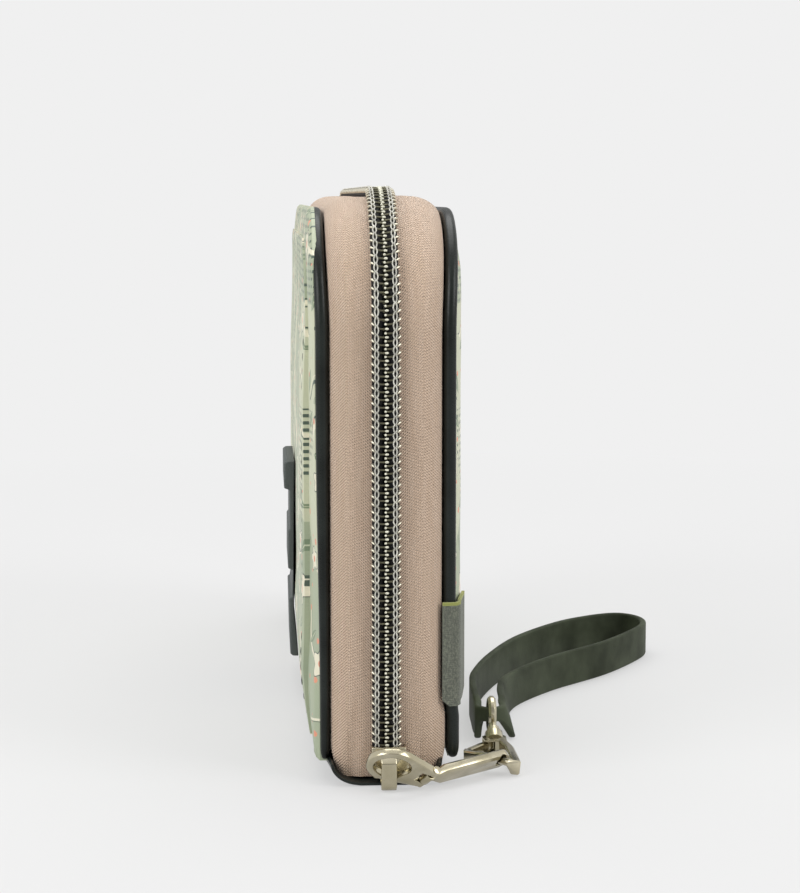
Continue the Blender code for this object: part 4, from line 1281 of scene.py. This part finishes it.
    def build_seam(self, total: float, out: float, shift: float) -> None:
        """Chain seam along the coil: two strands that part and meet once in each turn.

        Args:
            total: Length of the coil.
            out: Level of the seam.
            shift: Part of a turn by which the row is moved.
        """
        per = 8
        count = int((total - 2.0) / self.coil_pitch) * per
        for word, way in (("_inner_strand", -1.0), ("_outer_strand", 1.0)):
            points = []
            for i in range(count + 1):
                run = i * self.coil_pitch / per
                turn = math.pi * ((run - 0.55) / self.coil_pitch - shift)
                open_by = abs(math.sin(turn)) ** 0.7
                x = self.side * (self.thread_line + way * (0.06 + 0.31 * open_by))
                points.append(OUTLINE.point(run, out + 0.12 * (1.0 - open_by), x, self.coil_bottom))
            self.sweep_wire(word, points, self.thread, Finish.WHITE_THREAD)


@dataclass
class FrontPanel:
    """Slip pocket on the front cover, with its seams."""

    half: Half
    reach: float = 88.5
    bottom: float = 7.5
    top: float = 111.5
    radius: float = 20.0
    lift: float = 0.4
    thick: float = 1.0
    tight: float = 0.58
    tight_from: float = 76.0
    tight_span: float = 26.0
    low_to: float = 24.0
    low_span: float = 15.0
    grid: float = 4.0
    seam: float = 3.1
    sunk: float = 0.15
    stitch_pitch: float = 3.0
    stitch: float = 2.2

    def slack(self, z: float) -> float:
        """Share that the panel stands proud by, less where it is drawn tight at its top and bottom."""
        above = ease((z - self.tight_from) / self.tight_span)
        return 1.0 - self.tight * (above + ease((self.low_to - z) / self.low_span))

    def seam_x(self, y: float, z: float) -> float:
        """Place of the seam across the thickness, sunk a little into the panel."""
        return -(self.half.cover_at(y, z) + (self.lift + self.thick - self.sunk) * self.slack(z))

    def build(self) -> None:
        """Build the panel and its seams."""
        bm = bmesh.new()
        points = []
        for i in range(12):
            points.append((-self.reach, self.bottom + (self.top - self.radius - self.bottom) * i / 12.0))
        for i in range(13):
            turn = 0.5 * math.pi * i / 12.0
            points.append((
                -self.reach + self.radius - self.radius * math.cos(turn),
                self.top - self.radius + self.radius * math.sin(turn),
            ))
        for i in range(1, 12):
            along = 2.0 * (self.reach - self.radius) * i / 24.0
            points.append((-self.reach + self.radius + along, self.top))
        points += [(0.0, self.top)]
        points += [(-y, z) for y, z in reversed(points[:-1])]
        face = bm.faces.new([bm.verts.new((0.0, y, z)) for y, z in points])
        for step in (0.4, 0.8, 1.2, 0.7, 0.7):
            bmesh.ops.inset_region(bm, faces=[face], thickness=step, use_even_offset=True, use_boundary=True)
        cut_grid(bm, [face], self.grid)
        grown = bmesh.ops.extrude_edge_only(bm, edges=[e for e in bm.edges if e.is_boundary])["geom"]
        rear = {g for g in grown if isinstance(g, Vert)}
        for vert in bm.verts:
            y, z = vert.co.y, vert.co.z
            cover = self.half.cover_at(y, z)
            inset = min(self.reach - abs(y), self.top - z)
            past = (abs(y) - self.reach + self.radius, z - self.top + self.radius)
            if abs(y) > self.reach - self.radius and z > self.top - self.radius:
                inset = self.radius - math.hypot(*past)
            inset = min(inset, z - self.bottom)
            proud = self.lift + self.thick * (0.7 + 0.3 * ease(inset / 0.5))
            proud -= 0.25 * max(0.0, 1.0 - abs(inset - self.seam) / 0.7)
            proud *= self.slack(z)
            proud += 0.12 * noise.noise(Vector((y * 0.07, z * 0.07, 11.0)))
            vert.co.x = -(cover - 0.1) if vert in rear else -(cover + proud)
        bmesh.ops.contextual_create(bm, geom=[e for e in bm.edges if e.is_boundary])
        obj = piece_from("front_pocket_panel", bm, [Finish.PRINT], "front_half", ["front_pocket"], 50.0)
        self.seams()

    def seams(self) -> None:
        """Run a seam up both ends and along the bottom of the panel."""
        bm = bmesh.new()
        spots = []
        low, high = self.bottom + self.seam, self.top - self.radius
        width = self.reach - self.seam
        out = Vector((-1.0, 0.0, 0.0))
        count = int((high - low) / self.stitch_pitch)
        for way in (-1.0, 1.0):
            for i in range(count):
                z = low + (high - low) * (i + 0.5) / count
                here = Vector((self.seam_x(width, z), way * width, z))
                spots.append((here, Vector((0.0, 0.0, 1.0)), out))
        count = int(2.0 * width / self.stitch_pitch)
        x = self.seam_x(0.0, low)
        for i in range(count):
            y = -width + 2.0 * width * (i + 0.5) / count
            spots.append((Vector((x, y, low)), Vector((0.0, 1.0, 0.0)), out))
        stitch_row(bm, spots, self.stitch, 0.2)
        piece_from("front_pocket_seams", bm, [Finish.DARK_THREAD], "front_half", smooth=80.0)


def smooth_path(points: Sequence[Vector], steps: int, closed: bool = False) -> list[Vector]:
    """Catmull-Rom curve through points.

    Args:
        points: Points that the curve meets.
        steps: Steps in each leg.
        closed: Whether the last point is joined to the first.

    Returns:
        Points along the curve.
    """
    count = len(points)
    legs = count if closed else count - 1
    line = []
    for i in range(legs):
        picks = []
        for k in (i - 1, i, i + 1, i + 2):
            picks.append(points[k % count] if closed else points[min(max(k, 0), count - 1)])
        a, b, c, d = picks
        for j in range(steps):
            t = j / steps
            line.append(0.5 * (
                2.0 * b + (c - a) * t + (2.0 * a - 5.0 * b + 4.0 * c - d) * t * t
                + (3.0 * b - a - 3.0 * c + d) * t * t * t
            ))
    if not closed:
        line.append(points[-1].copy())
    return line


def rounded(half_w: float, half_h: float, soft: float, per: int) -> list[Point]:
    """Section with round corners, as (across, up).

    Args:
        half_w: Half its width.
        half_h: Half its height.
        soft: Radius of the corners.
        per: Points at each corner.

    Returns:
        The points in turn.
    """
    soft = min(soft, half_w, half_h)
    points = []
    for cx, cy, start in ((1, 1, 0.0), (-1, 1, 0.5), (-1, -1, 1.0), (1, -1, 1.5)):
        for k in range(per):
            turn = math.pi * (start + 0.5 * k / (per - 1))
            across = cx * (half_w - soft) + soft * math.cos(turn)
            points.append((across, cy * (half_h - soft) + soft * math.sin(turn)))
    return points


def skin(bm: Shape, rings: Sequence[Sequence[Vector]], closed: bool = False) -> None:
    """Bridge rings of points into a body; open ends are filled.

    Args:
        bm: Receives the body.
        rings: Rings of points along it.
        closed: Whether the last ring is joined to the first.
    """
    loops = []
    for ring in rings:
        verts = [bm.verts.new(co) for co in ring]
        loops.append([bm.edges.new(pair) for pair in zip(verts, verts[1:] + verts[:1])])
    pairs = list(zip(loops, loops[1:]))
    if closed:
        pairs.append((loops[-1], loops[0]))
    for first, second in pairs:
        bmesh.ops.bridge_loops(bm, edges=first + second)
    if not closed:
        bmesh.ops.contextual_create(bm, geom=loops[0])
        bmesh.ops.contextual_create(bm, geom=loops[-1])


@dataclass
class Strap:
    """Leather wrist loop standing on its edge, drawn narrow at the swivel eye."""

    height: float = 8.6
    thick: float = 1.6
    bottom: float = 0.3
    pinch: float = 3.2
    drop_from: float = 1.8
    drop_span: float = 3.2
    rise_from: float = 3.6
    rise_span: float = 7.0
    lean: float = 2.4
    lean_from: float = 4.0
    lean_span: float = 40.0
    hollow: float = 0.5
    soft: float = 0.55
    eye: Vector = field(default_factory=lambda: Vector((25.1, -68.49, 6.454)))

    def plan(self) -> list[Vector]:
        """Closed centre line seen from above.

        Returns:
            Points along it, from the eye round the loop.
        """
        turns = [
            (22.6, -66.6), (22.6, -61.0), (22.9, -52.5), (23.4, -42.5), (24.9, -32.5), (30.2, -14.4),
            (39.1, 6.8), (51.7, 25.2), (62.0, 34.3), (69.6, 37.4), (74.0, 33.5), (75.0, 26.0),
            (71.5, 16.5), (60.5, -0.6), (45.5, -17.2), (35.5, -31.5), (30.6, -42.0), (28.8, -51.5),
            (28.2, -60.0), (27.6, -66.6),
        ]
        points = [Vector((self.eye.x, self.eye.y, 0.0))] + [Vector((x, y, 0.0)) for x, y in turns]
        return smooth_path(points, 6, True)

    def build(self) -> None:
        """Build the band; its edge faces are painted paler than its faces, a painted highlight."""
        line = self.plan()
        count = len(line)
        runs = [0.0]
        for i in range(count):
            runs.append(runs[-1] + (line[(i + 1) % count] - line[i]).length)
        rings = []
        for i, point in enumerate(line):
            along = (line[(i + 1) % count] - line[i - 1]).normalized()
            side = Vector((along.y, -along.x, 0.0))
            away = min(runs[i], runs[-1] - runs[i])
            drop = ease((away - self.drop_from) / self.drop_span)
            rise = ease((away - self.rise_from) / self.rise_span)
            low = self.eye.z - 0.5 * self.pinch
            low += (self.bottom - low) * drop
            high = self.eye.z + 0.5 * self.pinch
            high += (self.bottom + self.height - high) * rise
            tilt = self.lean * drop * (1.0 - ease((away - self.lean_from) / self.lean_span))
            if runs[i] < 0.5 * runs[-1]:
                tilt = 0.0
            half = 0.5 * (high - low)
            cup = self.hollow * math.sin(math.pi * min(1.0, 1.1 * rise))
            ring = []
            for across, up in rounded(0.5 * self.thick, half, self.soft, 5):
                bow = cup * ((up / half) ** 2 - 0.4)
                shift = Vector((tilt * 0.5 * (1.0 - up / half), 0.0, low + half + up))
                ring.append(point + side * (across + bow) + shift)
            rings.append(ring)
        bm = bmesh.new()
        skin(bm, rings, True)
        bmesh.ops.recalc_face_normals(bm, faces=bm.faces)
        # faces along the band's upper and lower edges take the paler finish: painted highlight
        for face in bm.faces:
            face.material_index = 1 if abs(face.normal.z) > 0.6 else 0
        finishes = [Finish.STRAP, Finish.STRAP_EDGE]
        piece_from("wrist_strap_band", bm, finishes, "strap", ["wrist_strap"], 60.0)


@dataclass
class Spine:
    """Leather strip under the wallet, bent up at both sides and narrowed at both ends."""

    half: float = 103.4
    end_half: float = 11.6
    mid_half: float = 13.4
    narrowing: float = 20.0
    thick: float = 0.95
    tuck: float = 0.2
    stations: int = 56

    def half_width(self, y: float) -> float:
        """Half the width at a place along the strip."""
        return self.end_half + (self.mid_half - self.end_half) * ease((self.half - abs(y)) / self.narrowing)

    def skin_line(self, wide: float, depth: float) -> list[Point]:
        """Right half of the section at a depth inside the outer skin.

        Args:
            wide: Half the width of the strip.
            depth: Depth inside the skin.

        Returns:
            Its points as (x, z), from the rim to the bottom.
        """
        turns = (
            (0.0, 4.5, -1.0, 0.0), (0.5, 2.9, -0.93, 0.37), (1.9, 1.4, -0.72, 0.69),
            (4.0, 0.4, -0.4, 0.92), (6.4, 0.0, 0.0, 1.0),
        )
        points = [Vector((wide - back + nx * depth, z + nz * depth, 0.0)) for back, z, nx, nz in turns]
        return [(p.x, p.y) for p in smooth_path(points, 4)]

    def build(self) -> None:
        """Build the strip with its rounded rims."""
        rings = []
        for i in range(self.stations + 1):
            y = -self.half + 2.0 * self.half * i / self.stations
            tuck = self.tuck if i in (0, self.stations) else 0.0
            wide = self.half_width(y)
            outer = self.skin_line(wide, tuck)
            inner = self.skin_line(wide, self.thick - tuck)
            rim = self.skin_line(wide, 0.5 * self.thick)[0]
            right = inner[::-1] + [(rim[0], rim[1] + 0.35)] + outer
            ring = [Vector((x, y, z)) for x, z in right] + [Vector((-x, y, z)) for x, z in reversed(right)]
            rings.append(ring)
        bm = bmesh.new()
        skin(bm, rings)
        piece_from("spine_strip", bm, [Finish.SPINE], "spine", ["spine_panel"], 60.0)


@dataclass
class Studio:
    """Camera, lamps and floor."""

    eye: Vector = field(default_factory=lambda: Vector((-24.37, -549.42, 119.997)))
    yaw: float = 0.0608
    pitch: float = -0.1112
    focal_px: float = 2228.4
    shown: float = 0.871
    fill: float = 0.6
    dim: float = 0.45
    bright: float = 1.05
    photo_width: float = 800.0
    sensor: float = 36.0

    def build(self) -> None:
        """Set the view, the light and the floor."""
        scene = bpy.context.scene
        scene.view_settings.view_transform = "Standard"
        camera = bpy.data.cameras.new("photo_camera")
        camera.sensor_fit = "HORIZONTAL"
        camera.sensor_width = self.sensor
        camera.lens = self.sensor * self.focal_px / self.photo_width
        camera.clip_start = 0.01
        camera.clip_end = 20.0
        holder = bpy.data.objects.new("photo_camera", camera)
        holder.location = self.eye * MM
        holder.rotation_euler = (0.5 * math.pi + self.pitch, 0.0, -self.yaw)
        scene.collection.objects.link(holder)
        scene.camera = holder
        self.lamp("left_soft", (-0.75, -0.55, 0.55), (0.0, 0.0, 0.06), 0.6, 5.5)
        self.lamp("right_soft", (0.8, -0.5, 0.6), (0.0, 0.0, 0.05), 0.6, 5.0)
        self.lamp("top_soft", (0.0, 0.28, 1.05), (0.0, 0.0, 0.0), 1.0, 8.5)
        self.sky(scene)
        self.floor()

    def lamp(
        self, name: str, place: Sequence[float], aim: Sequence[float], size: float, power: float,
    ) -> None:
        """Add a square soft lamp aimed at a point.

        Args:
            name: Its name.
            place: Where it hangs, in metres.
            aim: Point that it is aimed at, in metres.
            size: Its side in metres.
            power: Its power in watts.
        """
        data = bpy.data.lights.new(name, "AREA")
        data.size = size
        data.energy = power
        obj = bpy.data.objects.new(name, data)
        obj.location = place
        obj.rotation_euler = (Vector(aim) - Vector(place)).to_track_quat("-Z", "Y").to_euler()
        bpy.context.scene.collection.objects.link(obj)

    def sky(self, scene: bpy.types.Scene) -> None:
        """Soft world light that shows as the pale background, with darker sides for shiny pieces.

        Args:
            scene: Receives the light.
        """
        world = bpy.data.worlds.new("studio")
        scene.world = world
        world.use_nodes = True
        tree = world.node_tree

        def add(kind: str, *values: object, **settings: object) -> Node:
            """Add a node to the world.

            Args:
                kind: Node type without its ShaderNode prefix.
                *values: Value or output socket for each of its first inputs.
                **settings: Node properties.

            Returns:
                The new node.
            """
            node = tree.nodes.new("ShaderNode" + kind)
            for key, value in settings.items():
                setattr(node, key, value)
            for slot, value in enumerate(values):
                if isinstance(value, Socket):
                    tree.links.new(value, node.inputs[slot])
                else:
                    node.inputs[slot].default_value = value
            return node

        glow = tree.nodes["Background"]
        glow.inputs[0].default_value = (1.0, 1.0, 1.0, 1.0)
        glow.inputs[1].default_value = self.fill
        plain = add("Background", (self.shown, self.shown, self.shown, 1.0), 1.0)
        part = add("SeparateXYZ", add("TexCoord").outputs["Generated"])
        side = add("Math", part.outputs[0], operation="ABSOLUTE").outputs[0]
        wide = add("MapRange", side, 0.25, 0.75, self.dim, self.bright, clamp=True)
        high = add("MapRange", part.outputs[2], 0.35, 0.9, 0.0, self.bright, clamp=True)
        level = add("Math", wide.outputs[0], high.outputs[0], operation="MAXIMUM").outputs[0]
        mirror = add("Background", level, 1.0)
        path = add("LightPath")
        glossy, through = path.outputs["Is Glossy Ray"], path.outputs["Is Transmission Ray"]
        shiny = add("Math", glossy, through, operation="MAXIMUM")
        blend = add("MixShader", shiny.outputs[0], glow.outputs[0], mirror.outputs[0])
        last = add("MixShader", path.outputs["Is Camera Ray"], blend.outputs[0], plain.outputs[0])
        tree.links.new(last.outputs[0], tree.nodes["World Output"].inputs[0])

    def floor(self) -> None:
        """Pale floor that keeps the shadow near the wallet and fades to the background."""
        bm = bmesh.new()
        bmesh.ops.create_circle(bm, cap_ends=True, segments=64, radius=3.0)
        mesh = bpy.data.meshes.new("studio_floor")
        bm.to_mesh(mesh)
        bm.free()
        obj = bpy.data.objects.new("studio_floor", mesh)
        bpy.context.scene.collection.objects.link(obj)
        shade = Shade("studio_floor", (0.56, 0.56, 0.56, 1.0), 0.9)
        tree = shade.tree
        away = shade.length(shade.add("TexCoord").outputs["Object"])
        fade = shade.spread(away, 0.12, 0.5, 0.55, 1.0)
        glow = shade.add("Emission", {"Color": (self.shown, self.shown, self.shown, 1.0), "Strength": 1.0})
        blend = shade.add("MixShader", {0: fade, 1: shade.skin.outputs[0], 2: glow.outputs[0]})
        tree.links.new(blend.outputs[0], tree.nodes["Material Output"].inputs[0])
        obj.data.materials.append(shade.mat)


def plate_with_holes(
    outline: Sequence[Point], holes: Sequence[Sequence[Point]], thick: float, soft: float,
) -> Shape:
    """Flat plate with rounded edges and holes, in its own plane.

    Args:
        outline: Points of the outer line.
        holes: Points of each hole.
        thick: Thickness.
        soft: Radius of its rounded edges.

    Returns:
        The body as a bmesh.
    """
    curve = bpy.data.curves.new("plate", "CURVE")
    curve.dimensions = "2D"
    curve.fill_mode = "BOTH"
    curve.extrude = 0.5 * thick - soft
    curve.bevel_depth = soft
    curve.bevel_resolution = 2
    curve.offset = -soft
    for line in (outline, *holes):
        spline = curve.splines.new("POLY")
        spline.points.add(len(line) - 1)
        spline.use_cyclic_u = True
        for spot, (u, v) in zip(spline.points, line):
            spot.co = (u, v, 0.0, 1.0)
    bm = shape_of(curve)
    bmesh.ops.remove_doubles(bm, verts=bm.verts, dist=0.001)
    return bm


@dataclass
class Link:
    """Ring plate whose straight shoulders run to a fork that holds the pull bar."""

    centre: Vector = field(default_factory=lambda: Vector((0.9, -109.9, 6.15)))
    along: Vector = field(default_factory=lambda: Vector((0.865, 0.302, -0.402)))
    across: Vector = field(default_factory=lambda: Vector((-0.494, 0.654, -0.572)))
    ring: float = 5.4
    hole: float = 3.8
    tip: float = 8.4
    fork: float = 3.35
    gap: float = 1.75
    root: float = 6.2
    thick: float = 1.6
    soft: float = 0.3
    knuckle: float = 0.85
    shoulder: float = math.radians(72.0)

    def build(self) -> None:
        """Build the plate and the round ends of its fork."""
        steps = 48
        outline = []
        for i in range(steps + 1):
            turn = self.shoulder + (2.0 * math.pi - 2.0 * self.shoulder) * i / steps
            outline.append((self.ring * math.cos(turn), self.ring * math.sin(turn)))
        outline += [
            (self.tip, -self.fork), (self.tip, -self.gap), (self.root, -self.gap),
            (self.root, self.gap), (self.tip, self.gap), (self.tip, self.fork),
        ]
        turns = [2.0 * math.pi * i / 40 for i in range(40)]
        hole = [(self.hole * math.cos(t), self.hole * math.sin(t)) for t in turns]
        bm = plate_with_holes(outline, [hole], self.thick, self.soft)
        long = self.fork - self.gap
        for way in (-1.0, 1.0):
            place = Matrix.Translation((self.tip, way * (self.gap + 0.5 * long), 0.0))
            place @= Matrix.Rotation(0.5 * math.pi, 4, "X")
            made = bmesh.ops.create_cone(
                bm, cap_ends=True, segments=20, radius1=self.knuckle, radius2=self.knuckle,
                depth=long, matrix=place,
            )["verts"]
            edges = each_once(e for v in made for e in v.link_edges)
            rims = [e for e in edges if len(e.link_faces) == 2 and e.calc_face_angle() > 1.0]
            bmesh.ops.bevel(
                bm, geom=rims, offset=0.2, offset_type="OFFSET", segments=2, profile=0.5,
                affect="EDGES", material=-1,
            )
        u = self.along.normalized()
        v = (self.across - u * self.across.dot(u)).normalized()
        turned = Matrix((u, v, u.cross(v))).transposed().to_4x4()
        turned.translation = self.centre
        bmesh.ops.transform(bm, matrix=turned, verts=bm.verts)
        piece_from("pull_link_form", bm, [Finish.NICKEL], "pull_link", ["pull_link"], 35.0)


@dataclass
class Fittings:
    """Slider, pull bar, snap hook and swivel eye, with the pins of the link and the gate."""

    aside: float = 0.45
    slim: float = 0.93
    foot: float = 0.7
    foot_y: float = -107.0
    foot_z: float = 4.0

    def slider_place(self, co: Vector) -> Vector:
        """Slimmer slider a little to one side, as the pull drags it."""
        return Vector((self.aside + self.slim * co.x, co.y, co.z))

    def crown_place(self, co: Vector) -> Vector:
        """Crown moved with the slider, its foot reaching lower."""
        low = ease((self.foot_y - co.y) / 2.0) * ease((self.foot_z - co.z) / 3.0)
        return Vector((0.6 * self.aside + co.x, co.y, co.z - self.foot * low))

    def build(self) -> None:
        """Build the metal pieces."""
        refine("slider_body", Finish.NICKEL, "slider", bevel=0.25, ease_over=self.slider_place)
        refine("slider_crown", Finish.NICKEL, "slider", bevel=0.3, segments=3, ease_over=self.crown_place)
        for node, body, bevel in (
            ("link_pin", "pull_link", 0.12), ("pull_bar", "pull_bar", 0.25), ("hook_body", "hook", 0.2),
            ("gate_pin", "hook", 0.08), ("hook_gate", "gate", 0.15), ("hook_swivel", "swivel", 0.12),
        ):
            refine(node, Finish.NICKEL, body, bevel=bevel)


@dataclass
class Inside:
    """Pockets, slots, the coin zip and the spine's lining."""

    soft: float = 0.12

    def build(self) -> None:
        """Build the inner pieces."""
        for node, finish, body, under in (
            ("card_slot_1", Finish.POCKET, "front_half", "card_backing_form"),
            ("card_slot_2", Finish.POCKET, "front_half", "card_backing_form"),
            ("card_slot_3", Finish.POCKET, "front_half", "card_backing_form"),
            ("card_backing", Finish.PLAIN, "front_half", "front_lining_form"),
            ("passport_pocket", Finish.POCKET, "back_half", "back_lining_form"),
            ("coin_pocket", Finish.PLAIN, "back_half", "passport_pocket_form"),
        ):
            refine(node, finish, body, bevel=self.soft)
        refine("coin_coil", Finish.COIL, "back_half", bevel=0.0)
        refine("coin_slider", Finish.NICKEL, "coin_slider", bevel=0.15)
        refine("coin_pull", Finish.NICKEL, "coin_pull", bevel=self.soft)
        refine("spine_lining", Finish.LINING, "spine", bevel=0.1)


def side_out(co: Vector, by: float) -> Vector:
    """Point moved with the side of the back half."""
    return co + Vector((by * ease((co.x - 11.0) / 3.0), 0.0, 0.0))


def main() -> None:
    """Build every sub-assembly in order; each piece's face count is logged."""
    logging.basicConfig(level=logging.INFO, format="%(name)s %(message)s")
    Studio().build()
    front = Half(
        "front", -1.0, lap=2.5, top_lap=1.4, swell=1.1, coil_in=-0.5, coil_out=2.85, head=0.43,
    )
    back = Half("back", 1.0, edge=2.5, dome=0.2, stand=0.6, top_flare=0.85, low_flare=0.75, thinning=0.0)
    front.build()
    back.build()
    FrontPanel(front).build()
    refine(
        "front_patch", Finish.RUBBER, "front_half", bevel=0.35, segments=3,
        ease_over=lambda co: co - Vector((0.9 * front.slump(co.z), 0.0, 0.0)),
    )
    refine(
        "side_label", Finish.LABEL, "back_half", bevel=0.0,
        ease_over=lambda co: side_out(co, back.stand),
    )
    Spine().build()
    Fittings().build()
    Link().build()
    Inside().build()
    Strap().build()


if __name__ == "__main__":
    main()
